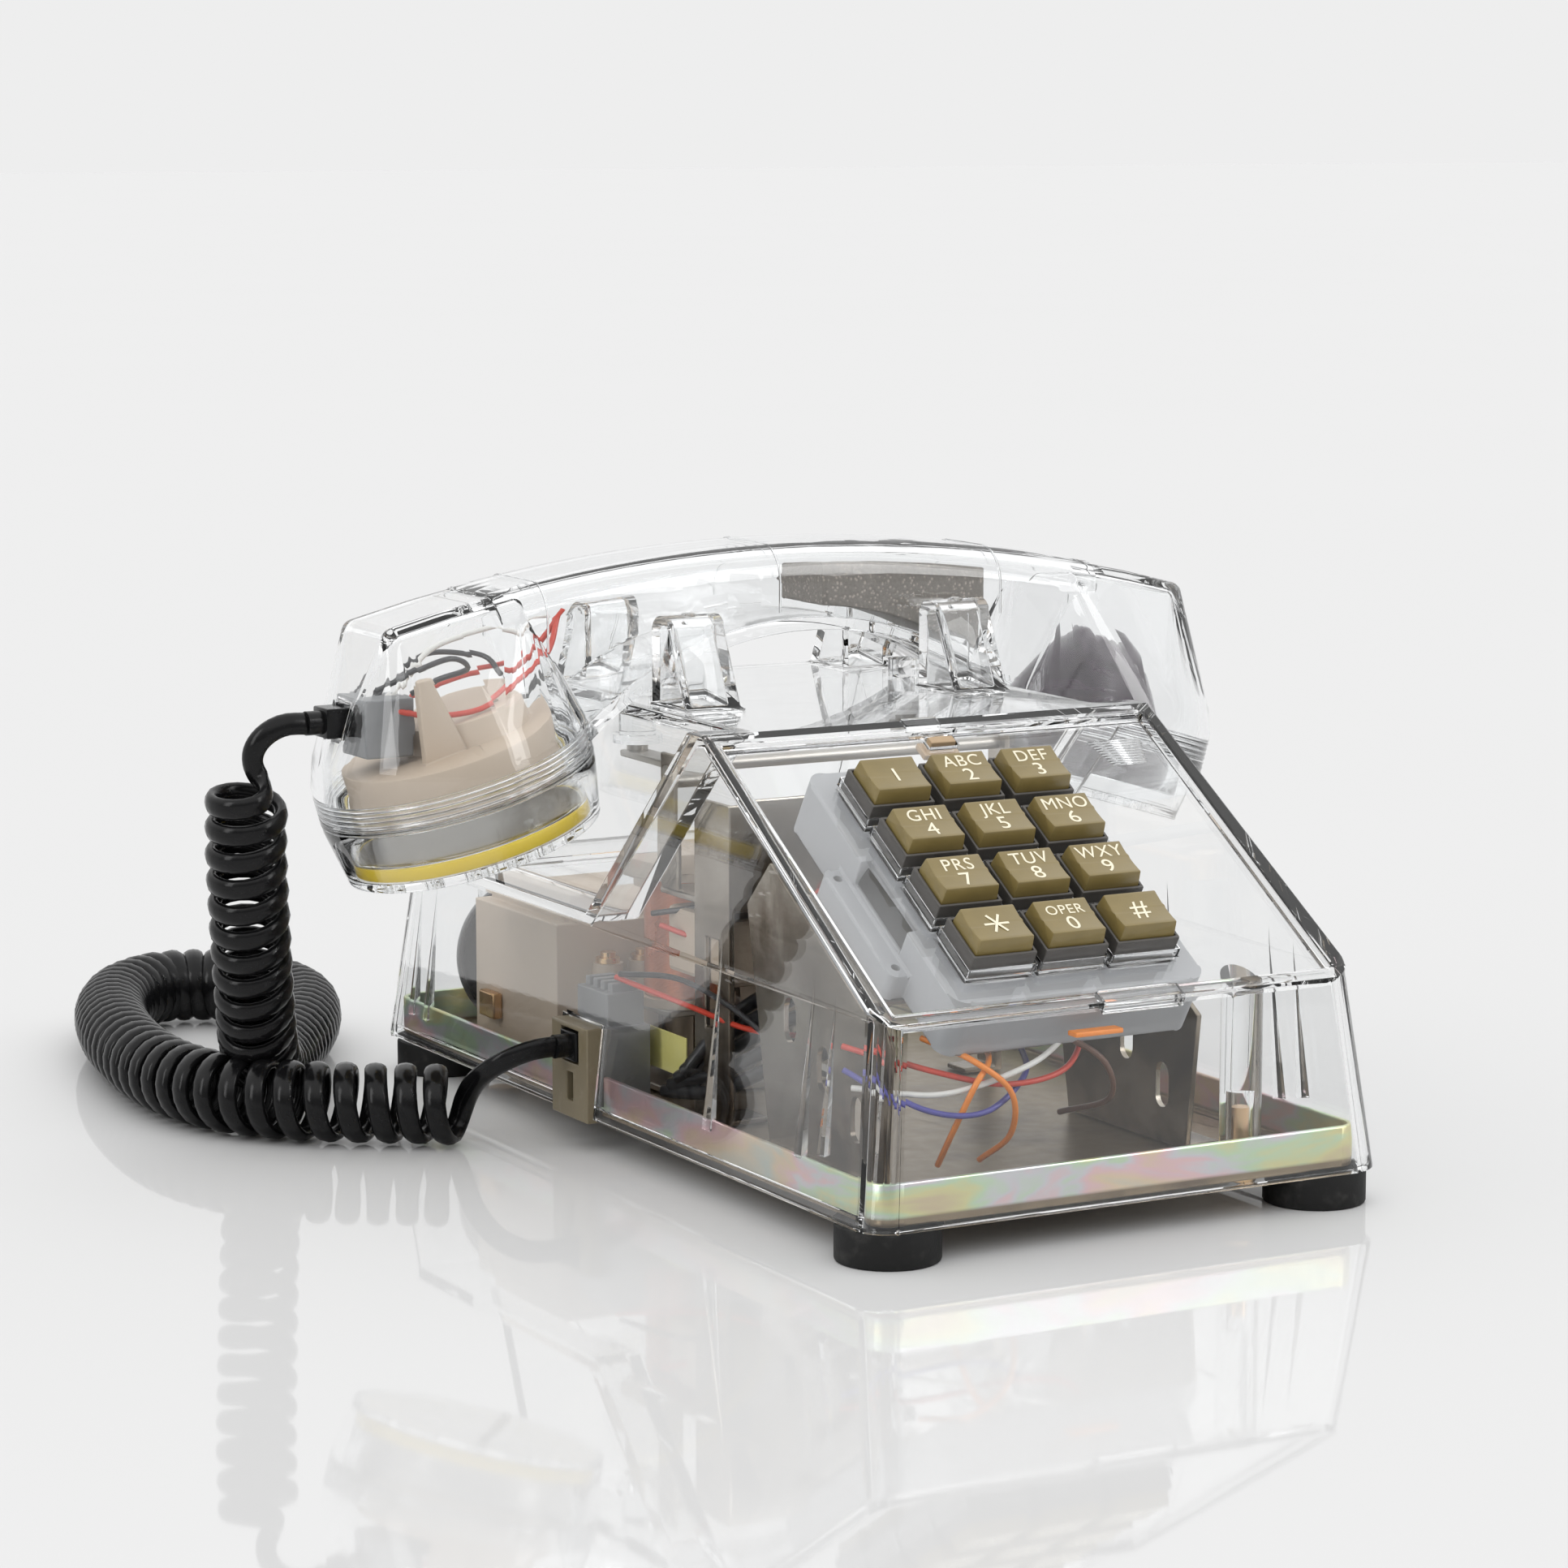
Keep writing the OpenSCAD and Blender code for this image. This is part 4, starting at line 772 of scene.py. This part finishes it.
def joined(name, pieces):
    """Several mesh pieces made one object."""
    work = bmesh.new()
    materials = []
    for piece in pieces:
        start = len(work.faces)
        work.from_mesh(piece.data)
        work.faces.ensure_lookup_table()
        for face in work.faces[start:]:
            own = piece.data.materials[face.material_index] if piece.data.materials else None
            if own not in materials:
                materials.append(own)
            face.material_index = materials.index(own)
    mesh = bpy.data.meshes.new(name)
    work.to_mesh(mesh)
    work.free()
    for material in materials:
        mesh.materials.append(material)
    for piece in pieces:
        bpy.data.objects.remove(piece)
    return new_object(name, mesh)


# ---------- cord ----------
def carried_sides(points):
    """For each point of a line, two directions square to it that don't twist."""
    heading = np.gradient(points, axis=0)
    heading /= np.linalg.norm(heading, axis=1)[:, None]
    side = np.cross(heading[0], (0, 0, 1.0))
    if np.linalg.norm(side) < 0.2:
        side = np.cross(heading[0], (0, 1.0, 0))
    sides = []
    for t in heading:
        side = side - t * (side @ t)
        side /= np.linalg.norm(side)
        sides.append(side.copy())
    sides = np.array(sides)
    return sides, np.cross(heading, sides)


def cord_line():
    """The cord's middle line in metres, and which way its flat side faces: straight lead, helix, straight lead."""
    sizes = bpy.context.scene.phone_cord
    per_turn = 20
    core = smooth_line(np.array(CURL_ROUTE) * MM, 0.00012)
    away = np.concatenate([[0], np.cumsum(np.linalg.norm(np.diff(core, axis=0), axis=1))])
    u, v = carried_sides(core)
    hanging = np.clip((core[:, 2] - 0.012) / 0.012, 0, 1)
    front = np.clip((away - away[-1] + 0.135) / 0.03, 0, 1)
    pitch = sizes.loop_pitch + (sizes.column_pitch - sizes.loop_pitch) * hanging
    pitch = pitch + (sizes.front_pitch - sizes.loop_pitch) * front
    turns = np.concatenate([[0], np.cumsum(np.diff(away) / pitch[1:])])
    turns *= round(turns[-1] + 0.35) / turns[-1]
    first = np.array(UPPER_LEAD) * MM
    last = np.array(LOWER_LEAD) * MM
    meet = first[-1] - core[0]
    begin = math.atan2(meet @ v[0], meet @ u[0])
    count = int(turns[-1] * per_turn)
    at = np.linspace(0, turns[-1], count)
    middle = np.stack([np.interp(at, turns, core[:, k]) for k in range(3)], 1)
    across = np.stack([np.interp(at, turns, u[:, k]) for k in range(3)], 1)
    up = np.stack([np.interp(at, turns, v[:, k]) for k in range(3)], 1)
    angle = begin + 2 * math.pi * at
    ease = np.clip(at / 0.7, 0, 1)
    radius = sizes.coil_radius * (0.42 + 0.58 * ease * ease * (3 - 2 * ease))
    turned = turns[-1] - at
    wanted = last[0] - core[-1]
    end_angle = math.atan2(wanted @ v[-1], wanted @ u[-1])
    miss = (end_angle - angle[-1] + math.pi) % (2 * math.pi) - math.pi
    fix = miss * np.clip(1 - turned / 6, 0, 1)
    coil = middle + radius[:, None] * (np.cos(angle + fix)[:, None] * across + np.sin(angle + fix)[:, None] * up)
    upper = smooth_line(first, 0.0021)
    lower = smooth_line(last, 0.0021)
    line = np.vstack([upper[:-1], coil[2:-2], lower[1:]])
    reach = 13
    share = 0.25 * (1 + np.cos(math.pi * np.arange(1 - reach, reach) / reach))[:, None]
    for joint in (len(upper) - 1, len(upper) - 1 + len(coil) - 4):
        joint = min(max(joint, reach), len(line) - 1 - reach)
        low, high = joint + 1 - reach, joint + reach
        for _ in range(90):
            middles = (line[low - 1 : high - 1] + line[low + 1 : high + 1]) / 2
            line[low:high] += share * (middles - line[low:high])
    line[:, 2] = np.maximum(line[:, 2], sizes.thickness / 2 + 0.0002)
    first_turn, last_turn = len(upper) + 5, len(upper) + len(coil) - 12
    facing = np.zeros_like(line)
    facing[first_turn:last_turn] = (coil - middle)[first_turn - len(upper) + 3 : last_turn - len(upper) + 3]
    heading = np.gradient(line, axis=0)
    heading /= np.linalg.norm(heading, axis=1)[:, None]
    for i in range(first_turn - 1, -1, -1):
        facing[i] = facing[i + 1]
        facing[i] -= heading[i] * (heading[i] @ facing[i])
    for i in range(last_turn, len(line)):
        facing[i] = facing[i - 1]
        facing[i] -= heading[i] * (heading[i] @ facing[i])
    facing -= heading * np.sum(heading * facing, 1)[:, None]
    return line, facing / np.linalg.norm(facing, axis=1)[:, None]


class PHONE_OT_cord(bpy.types.Operator):
    """Makes the black curly cord with its straight leads and plugs"""

    bl_idname = "phone.cord"
    bl_label = "Curly Cord"

    def execute(self, context):
        sizes = context.scene.phone_cord
        line, facing = cord_line()
        length = float(np.linalg.norm(np.diff(line, axis=0), axis=1).sum())
        mesh = line_mesh(line)
        sides = mesh.attributes.new("facing", "FLOAT_VECTOR", "POINT")
        sides.data.foreach_set("vector", facing.astype(np.float32).ravel())
        piece = tree(flat_cord_tree).run("handset_cord", mesh, {
            "Thickness": sizes.thickness, "Width": sizes.width, "Sides": sizes.sides, "Material": black_cord()})
        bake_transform(piece)
        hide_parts("cord_upper_lead", "curly_cord", "cord_lower_lead")
        upper = dress("handset_plug", black_cord(), 0.0004)
        lower = dress("base_plug", black_cord(), 0.0004)
        tuple(line[0])
        [tuple(p) for p in line]
        return {"FINISHED"}


# ---------- stage ----------
VIEW_TARGET = spot(-16.66, 0, 79.9)
VIEW_BACK = Vector((-0.4804, -0.8649, 0.1456)).normalized()


def area_light(name, place, size, power, look_at):
    lamp = bpy.data.lights.new(name, "AREA")
    lamp.shape = "RECTANGLE"
    lamp.size, lamp.size_y = size
    lamp.energy = power
    holder = bpy.data.objects.new(name, lamp)
    bpy.context.scene.collection.objects.link(holder)
    holder.location = place
    holder.rotation_euler = (Vector(place) - Vector(look_at)).to_track_quat("Z", "Y").to_euler()
    return holder


class PHONE_OT_stage(bpy.types.Operator):
    """Makes the camera, the glossy pale floor and the soft studio light"""

    bl_idname = "phone.stage"
    bl_label = "Camera, Floor and Light"

    def execute(self, context):
        scene = context.scene
        settings = scene.phone_stage
        data = bpy.data.cameras.new("camera")
        data.sensor_width = 36
        data.lens = 106.03
        data.clip_start, data.clip_end = 0.05, 60
        camera = bpy.data.objects.new("camera", data)
        scene.collection.objects.link(camera)
        camera.location = VIEW_TARGET + VIEW_BACK * 1.0229
        camera.rotation_euler = VIEW_BACK.to_track_quat("Z", "Y").to_euler()
        scene.camera = camera
        self.world(scene, settings)
        self.floor(settings)
        toward = Vector((VIEW_BACK.x, VIEW_BACK.y, 0)).normalized()
        right = Vector((-toward.y, toward.x, 0))
        places = {"left_box": toward * 1.5 - right * 1.9 + Vector((0, 0, 1.1)),
                  "right_box": toward * 1.1 + right * 2.1 + Vector((0, 0, 1.2))}
        unlit = bpy.data.collections.new("not_lit_by_boxes")
        unlit.objects.link(bpy.data.objects["floor"])
        unlit.collection_objects[0].light_linking.link_state = "EXCLUDE"
        for name, place in places.items():
            lamp = area_light(name, place, (0.7, 1.7), settings.strip, (0, 0, 0.06))
            lamp.light_linking.receiver_collection = unlit
        scene.view_settings.view_transform = "Standard"
        cycles = scene.cycles
        cycles.max_bounces = 24
        cycles.diffuse_bounces = 4
        cycles.glossy_bounces = 8
        cycles.transmission_bounces = 20
        cycles.transparent_max_bounces = 24
        cycles.use_denoising = True
        cycles.sample_clamp_indirect = 6
        return {"FINISHED"}

    def world(self, scene, settings):
        world = bpy.data.worlds.new("studio")
        world.use_nodes = True
        scene.world = world
        f = Finish(world.node_tree)
        split = f.node("ShaderNodeSeparateXYZ", sockets={0: f.node("ShaderNodeTexCoord").outputs["Generated"]})
        x, y, z = (f.value(split, k) for k in range(3))
        toward = x * VIEW_BACK.x + y * VIEW_BACK.y
        high = f.band(z, 0.20, 0.75)
        dark = f.band(toward, 0.05, 0.65) * (1 - f.band(z, 0.30, 0.62))
        level = settings.horizon + (settings.sky - settings.horizon) * high - 0.52 * dark
        f.end(f.node("ShaderNodeBackground", sockets={"Color": (1.0, 1.0, 1.0), "Strength": level}).outputs[0])

    def floor(self, settings):
        mesh = bpy.data.meshes.new("floor")
        size = 14.0
        mesh.from_pydata([(-size, -size, 0), (size, -size, 0), (size, size, 0), (-size, size, 0)], [], [(0, 1, 2, 3)])
        floor = new_object("floor", mesh)
        material = bpy.data.materials.new("glossy_floor")
        material.use_nodes = True
        f = Finish(material.node_tree)
        cloud = f.noise(3, 2)
        colour = f.mix(cloud, (0.709, 0.709, 0.709), (0.716, 0.716, 0.716))
        matte = f.surface(Base_Color=colour, Roughness=0.6, Specular_IOR_Level=0.0)
        mirror = f.node("ShaderNodeBsdfGlossy", sockets={"Color": (1.0, 1.0, 1.0), "Roughness": 0.03}).outputs[0]
        f.end(f.blend(settings.floor_gloss, matte, mirror))
        mesh.materials.append(material)


# ---------- shells ----------
class PHONE_OT_shells(bpy.types.Operator):
    """Makes the clear housing, the faceplate and the pieces fixed in their walls"""

    bl_idname = "phone.shells"
    bl_label = "Clear Housing"

    def execute(self, context):
        edge = context.scene.phone_shell.edge_round
        dress("housing", clear_acrylic(), edge, segments=3)
        dress("faceplate", clear_acrylic(), 0.0003)
        dress("faceplate_clip", tan_film(), 0.0003)
        dress("hook_plungers", clear_acrylic(), 0.0005)
        self.ribs()
        self.trim()
        return {"FINISHED"}

    RIBS = ((-45, 15, 58, 1.9), (-84, 17, 54, 1.5), (-93, 19, 52, 1.5), (96, 14, 46, 1.3), (104, 14, 44, 1.3))

    def trim(self):
        """Clear lip clips, grip lines behind the faceplate and a dimple on each ear."""
        pieces = [block("part", (20, 4.2, 3.2), face_frame(4.4, 90.2, -1.4), 0.5),
                  block("part", (9, 3, 1.6), face_frame(-3, 0.8, -0.6), 0.4)]
        for k in range(10):
            pieces.append(block("part", (13.5 - 0.5 * k, 0.34, 0.5), face_frame(43, 9 + 0.85 * k, -3.9), 0.1))
        for side in (-1, 1):
            ball = bpy.data.meshes.new("dimple")
            work = bmesh.new()
            bmesh.ops.create_uvsphere(work, u_segments=24, v_segments=12, radius=0.0019)
            place = Matrix.Translation(spot(side * 34.3, 11.6, 117.3)) @ Matrix.Diagonal((1, 1, 0.35, 1))
            bmesh.ops.transform(work, matrix=place, verts=work.verts)
            work.to_mesh(ball)
            work.free()
            pieces.append(new_object("dimple", ball))
        for piece in pieces:
            piece.data.materials.append(clear_acrylic())
            smooth_by_angle(piece.data)
        settle(joined("housing_trim", pieces), "root", clear_acrylic(), slot="clear_shell")

    def ribs(self):
        """Thin tapered draft ribs inside the left and right walls."""
        work = bmesh.new()
        half_foot = BASE_W / 2
        for side in (-1, 1):
            for y, low, high, half in self.RIBS:
                wall = half_foot - 2.55 - WALL_LEAN * (low - BASE_Z)
                top_wall = half_foot - 2.55 - WALL_LEAN * (min(high, 50) - BASE_Z)
                foot = [(side * wall, y - half, low), (side * (wall - 2.4), y, low),
                        (side * wall, y + half, low), (side * (wall + 0.4), y, low)]
                verts = [work.verts.new(spot(*p)) for p in foot] + [work.verts.new(spot(side * top_wall, y, high))]
                order = verts[:4] if side < 0 else verts[3::-1]
                work.faces.new(order)
                for i in range(4):
                    pair = (verts[(i + 1) % 4], verts[i]) if side < 0 else (verts[i], verts[(i + 1) % 4])
                    work.faces.new((*pair, verts[4]))
        bmesh.ops.recalc_face_normals(work, faces=work.faces)
        mesh = bpy.data.meshes.new("housing_ribs")
        work.to_mesh(mesh)
        work.free()
        settle(new_object("housing_ribs", mesh), "root", clear_acrylic(), slot="clear_shell")


class PHONE_OT_handset(bpy.types.Operator):
    """Makes the clear handset with its caps, cup, capsules, weight and wires"""

    bl_idname = "phone.handset"
    bl_label = "Handset"

    def execute(self, context):
        shell = context.scene.phone_shell
        dress("handset_shell", clear_handset(), 0.0005, angle=50)
        for side, node in ((-1, "transmitter_cap"), (1, "receiver_cap")):
            dress(node, clear_handset(), 0.0003)
            start = bpy.data.meshes.new("start")
            ridges = tree(ridge_tree).run(node + "_threads", start, {
                "Radius": (CUP_R - 0.45) * MM, "Ridge": 0.0006, "Count": shell.thread_count,
                "Pitch": shell.thread_pitch, "Material": clear_handset()})
            ridges.data.transform(cup_frame(side, 0, 0, CAP_H - 1.2))
            settle(ridges, "handset", slot="clear_shell")
        for node in ("transmitter_cup", "transmitter_capsule", "cap_gasket", "receiver_capsule",
                     "handset_weight", "handset_socket"):
            dress(node, FINISH_OF_SLOT[SLOT_OF[node]](), 0.0004)
        self.seams()
        self.wires(context.scene.phone_inside.wire_diameter)
        return {"FINISHED"}

    def seams(self):
        """Fine raised seam lines across the handle."""
        pieces = []
        for x in (-66, -8, 50):
            top = 131 - 384 + math.sqrt(384**2 - x * x)
            half = 16
            corner = [(x, HANDSET_Y - side * (half - 8 + 8 * math.cos(math.radians(t))),
                       top - 8 + 8 * math.sin(math.radians(t)))
                      for side, turns in ((1, range(0, 91, 15)), (-1, range(90, -1, -15))) for t in turns]
            line = [(x, HANDSET_Y - half, top - 15), *corner, (x, HANDSET_Y + half, top - 15)]
            pieces.append(tube("part", np.array(line) * MM, 0.0006, clear_handset()))
        settle(joined("handset_seams", pieces), "handset", slot="clear_shell")

    def wires(self, size):
        routes = [
            (red_wire, [(-101, 30, 99), (-92, 24, 97), (-80, 22, 98), (-70, 24, 104), (-62, 27, 109),
                        (-58, 30, 116)]),
            (red_wire, [(-98, 38, 97), (-88, 42, 99), (-76, 40, 103), (-66, 34, 106), (-60, 31, 113),
                        (-56, 31, 118)]),
            (black_wire, [(-101, 35, 102), (-94, 28, 106), (-86, 25, 109), (-80, 29, 106), (-84, 36, 103),
                          (-90, 38, 100)]),
            (black_wire, [(-101, 38, 100), (-92, 42, 104), (-82, 44, 108), (-72, 38, 107), (-70, 32, 103)]),
            (white_wire, [(-101, 33, 98), (-93, 36, 103), (-84, 38, 110), (-70, 36, 114), (-58, 34, 116)]),
        ]
        pieces = [tube("part", smooth_line(np.array(r) * MM, 0.0015), size, m()) for m, r in routes]
        settle(joined("handset_wires", pieces), "handset")


# ---------- keys ----------
def dish_height(y):
    """Height of a key's dished top in metres, at a distance down the slope from its middle."""
    return (KEY_TOP_H + DISH_R - DISH_DEPTH - math.sqrt(DISH_R**2 - (y / MM) ** 2)) * MM


def legend(text, height, place, key_frame):
    """Flat raised lettering laid on a key's dished top."""
    curve = bpy.data.curves.new("legend", "FONT")
    curve.body = text
    curve.align_x = "CENTER"
    curve.size = height / 0.72
    curve.space_character = 1.08
    curve.resolution_u = 4
    curve.extrude = 0.00004
    holder = new_object("legend", curve)
    mesh = bpy.data.meshes.new_from_object(holder.evaluated_get(bpy.context.evaluated_depsgraph_get()))
    bpy.data.objects.remove(holder)
    for vertex in mesh.vertices:
        x, y, z = vertex.co
        y += place
        vertex.co = key_frame @ Vector((x, y, z + dish_height(y) + 0.00004))
    mesh.materials.append(legend_cream())
    return new_object("legend", mesh)


class PHONE_OT_keys(bpy.types.Operator):
    """Makes the twelve keys with their legends, and the keypad round them"""

    bl_idname = "phone.keys"
    bl_label = "Keys"

    def execute(self, context):
        sizes = context.scene.phone_keys
        for node, (column, row, letters, digit) in KEYS.items():
            dress(node, key_bronze(), sizes.edge_round, angle=40)
            at = face_frame(PAD_X + column * PITCH_X, FIRST_ROW_S + row * PITCH_S, 0)
            parts = []
            if letters:
                small = sizes.letter_height * (0.78 if len(letters) > 3 else 1)
                parts.append(legend(letters, small, 0.0009, at))
                parts.append(legend(digit, sizes.digit_height, -0.0040, at))
            elif digit == "*":
                parts.append(self.star(at))
            else:
                big = sizes.digit_height * (1.25 if digit == "#" else 1)
                parts.append(legend(digit, big, -0.0022, at))
            settle(joined(node + "_legend", parts), BODY_OF[node], legend_cream(), slot="key_bronze")
        dress("keypad_frame", smoke_frame(), 0.0006)
        dress("key_collars", collar_grey(), 0.0003)
        for node in ("dome_sheet", "keypad_board", "keypad_back", "keypad_screws"):
            dress(node, FINISH_OF_SLOT[SLOT_OF[node]](), 0.0002)
        for node in ("keypad_bracket_left", "keypad_bracket_right"):
            dress(node, aged_steel(), 0.0002)
        return {"FINISHED"}

    def star(self, at):
        """A six-armed star."""
        reach, half = 0.0029, 0.00028
        work = bmesh.new()
        for k in range(3):
            turn = Matrix.Rotation(math.radians(60 * k), 3, "Z")
            corners = [turn @ Vector((x * reach, y * half, 0)) for x, y in ((-1, -1), (1, -1), (1, 1), (-1, 1))]
            rings = []
            for lift in (-0.00004, 0.00004 + 0.00001 * k):
                ring = []
                for c in corners:
                    ring.append(work.verts.new(at @ Vector((c.x, c.y, lift + dish_height(c.y) + 0.00006))))
                rings.append(ring)
            work.faces.new(rings[1])
            work.faces.new(rings[0][::-1])
            for i in range(4):
                work.faces.new((rings[0][i], rings[0][(i + 1) % 4], rings[1][(i + 1) % 4], rings[1][i]))
        mesh = bpy.data.meshes.new("star")
        work.to_mesh(mesh)
        work.free()
        return new_object("star", mesh)


# ---------- base and inside ----------
class PHONE_OT_base(bpy.types.Operator):
    """Makes the base pan, its feet, screws and jacks"""

    bl_idname = "phone.base"
    bl_label = "Base Pan"

    def execute(self, context):
        edges = {"base_pan": 0.0004, "rubber_feet": 0.0006}
        for node in ("base_pan", "rubber_feet", "foot_rivets", "housing_screws", "handset_jack", "handset_jack_strip",
                     "line_jack", "line_jack_strip"):
            dress(node, FINISH_OF_SLOT[SLOT_OF[node]](), edges.get(node, 0.0003), shortest=0.0003)
        return {"FINISHED"}


class PHONE_OT_inside(bpy.types.Operator):
    """Makes the ringer, network block, hook switch and the wires between them"""

    bl_idname = "phone.inside"
    bl_label = "Inside Pieces"

    def execute(self, context):
        for node in ("network_block", "network_terminals", "ringer_frame", "ringer_bobbin", "ringer_winding", "gongs",
                     "gong_screws", "clapper", "volume_wheel", "hookswitch_contacts", "hook_bail"):
            dress(node, FINISH_OF_SLOT[SLOT_OF[node]](), 0.0004)
        dress("hookswitch_frame", aged_steel(), 0.0004)
        self.extras()
        self.wires(context.scene.phone_inside.wire_diameter)
        return {"FINISHED"}

    def extras(self):
        """The relay cover, the labels, the coil's lead fan and the black harness."""
        parts = [(beige_moulding, (25, 27, 15), (-28, -6, 46.5), 1.2),
                 (beige_moulding, (14, 12, 10), (-24, -14, 36), 1),
                 (yellow_label, (0.4, 19, 9), (-42.6, 4, 21.5), 0.1),
                 (orange_wire, (11.5, 3.4, 1.1), (-3.5, -106.2, 41.6), 0.3)]
        pieces = []
        for maker, size, place, edge in parts:
            piece = block("part", size, Matrix.Translation(spot(*place)), edge)
            piece.data.materials.append(maker())
            smooth_by_angle(piece.data)
            pieces.append(piece)
        settle(joined("inside_blocks", pieces), "root")
        fan = [[(-24 + k, 14 + 2 * k, 64), (-19 + 0.8 * k, 8 + 2 * k, 66 - 0.5 * k), (-13, 2 + 1.4 * k, 63 - k),
                (-9, -5 + k, 56)] for k in range(7)]
        harness = [[(-44, 2 - 3 * k, 13 + 2 * k), (-41 + k, -16, 16 + 4 * k), (-37 + 2 * k, -34, 24 + 5 * k),
                    (-33 + 2 * k, -50, 30 + 5 * k), (-27 + 2 * k, -60, 40 + 2 * k)] for k in range(5)]
        tubes = [tube("part", smooth_line(np.array(r) * MM, 0.0015), 0.0015, black_wire()) for r in fan]
        tubes += [tube("part", smooth_line(np.array(r) * MM, 0.002), 0.0032, black_wire()) for r in harness]
        settle(joined("black_harness", tubes), "root")

    def wires(self, size):
        routes = [
            (orange_wire, [(-30, -88, 13), (-31, -96, 22), (-29, -101, 32), (-24, -98, 36), (-18, -86, 38)]),
            (orange_wire, [(-20, -88, 13), (-18, -97, 20), (-21, -102, 30), (-29, -100, 37), (-34, -88, 40)]),
            (blue_wire, [(-48, -84, 34), (-38, -96, 27), (-26, -100, 26), (-14, -96, 32), (-8, -84, 36)]),
            (red_wire, [(-46, -80, 38), (-34, -94, 34), (-20, -99, 31), (-6, -99, 33), (2, -92, 40), (4, -80, 46)]),
            (red_wire, [(-52, 10, 38), (-44, -10, 34), (-40, -30, 32), (-36, -52, 34), (-28, -70, 36)]),
            (brown_wire, [(2, -84, 20), (6, -97, 25), (2, -101, 34), (-6, -96, 40)]),
            (white_wire, [(-46, -84, 30), (-34, -97, 30), (-16, -101, 35), (-2, -95, 40)]),
            (black_wire, [(-52, 8, 39), (-46, -8, 40), (-42, -26, 36), (-38, -48, 28), (-30, -66, 24)]),
            (red_wire, [(-44, 4, 50), (-38, -4, 48), (-32, -12, 52), (-26, -20, 56), (-20, -26, 60)]),
            (black_wire, [(-44, 8, 52), (-38, 0, 54), (-32, -8, 57), (-24, -16, 60), (-18, -22, 64)]),
        ]
        pieces = [tube("part", smooth_line(np.array(r) * MM, 0.0015), size, m()) for m, r in routes]
        settle(joined("base_wires", pieces), "root")


# ---------- panel and registration ----------
OPERATORS = [
    PHONE_OT_stage, PHONE_OT_cord, PHONE_OT_shells, PHONE_OT_handset, PHONE_OT_keys, PHONE_OT_base, PHONE_OT_inside]


class PHONE_PT_panel(bpy.types.Panel):
    bl_label = "Clear Desk Telephone"
    bl_idname = "PHONE_PT_panel"
    bl_space_type = "VIEW_3D"
    bl_region_type = "UI"
    bl_category = "Telephone"

    def draw(self, context):
        for group, kind in SETTINGS.items():
            box = self.layout.box()
            settings = getattr(context.scene, "phone_" + group)
            for key in kind.__annotations__:
                box.prop(settings, key)
        for operator in OPERATORS:
            self.layout.operator(operator.bl_idname)


def register():
    for kind in (*SETTINGS.values(), *OPERATORS, PHONE_PT_panel):
        bpy.utils.register_class(kind)
    for group, kind in SETTINGS.items():
        setattr(bpy.types.Scene, "phone_" + group, bpy.props.PointerProperty(type=kind))


def unregister():
    for group in SETTINGS:
        delattr(bpy.types.Scene, "phone_" + group)
    for kind in (PHONE_PT_panel, *reversed(OPERATORS), *reversed(list(SETTINGS.values()))):
        bpy.utils.unregister_class(kind)


def main():
    register()
    bpy.ops.phone.stage()
    bpy.ops.phone.cord()
    bpy.ops.phone.shells()
    bpy.ops.phone.handset()
    bpy.ops.phone.keys()
    bpy.ops.phone.base()
    bpy.ops.phone.inside()


if __name__ == "__main__":
    main()
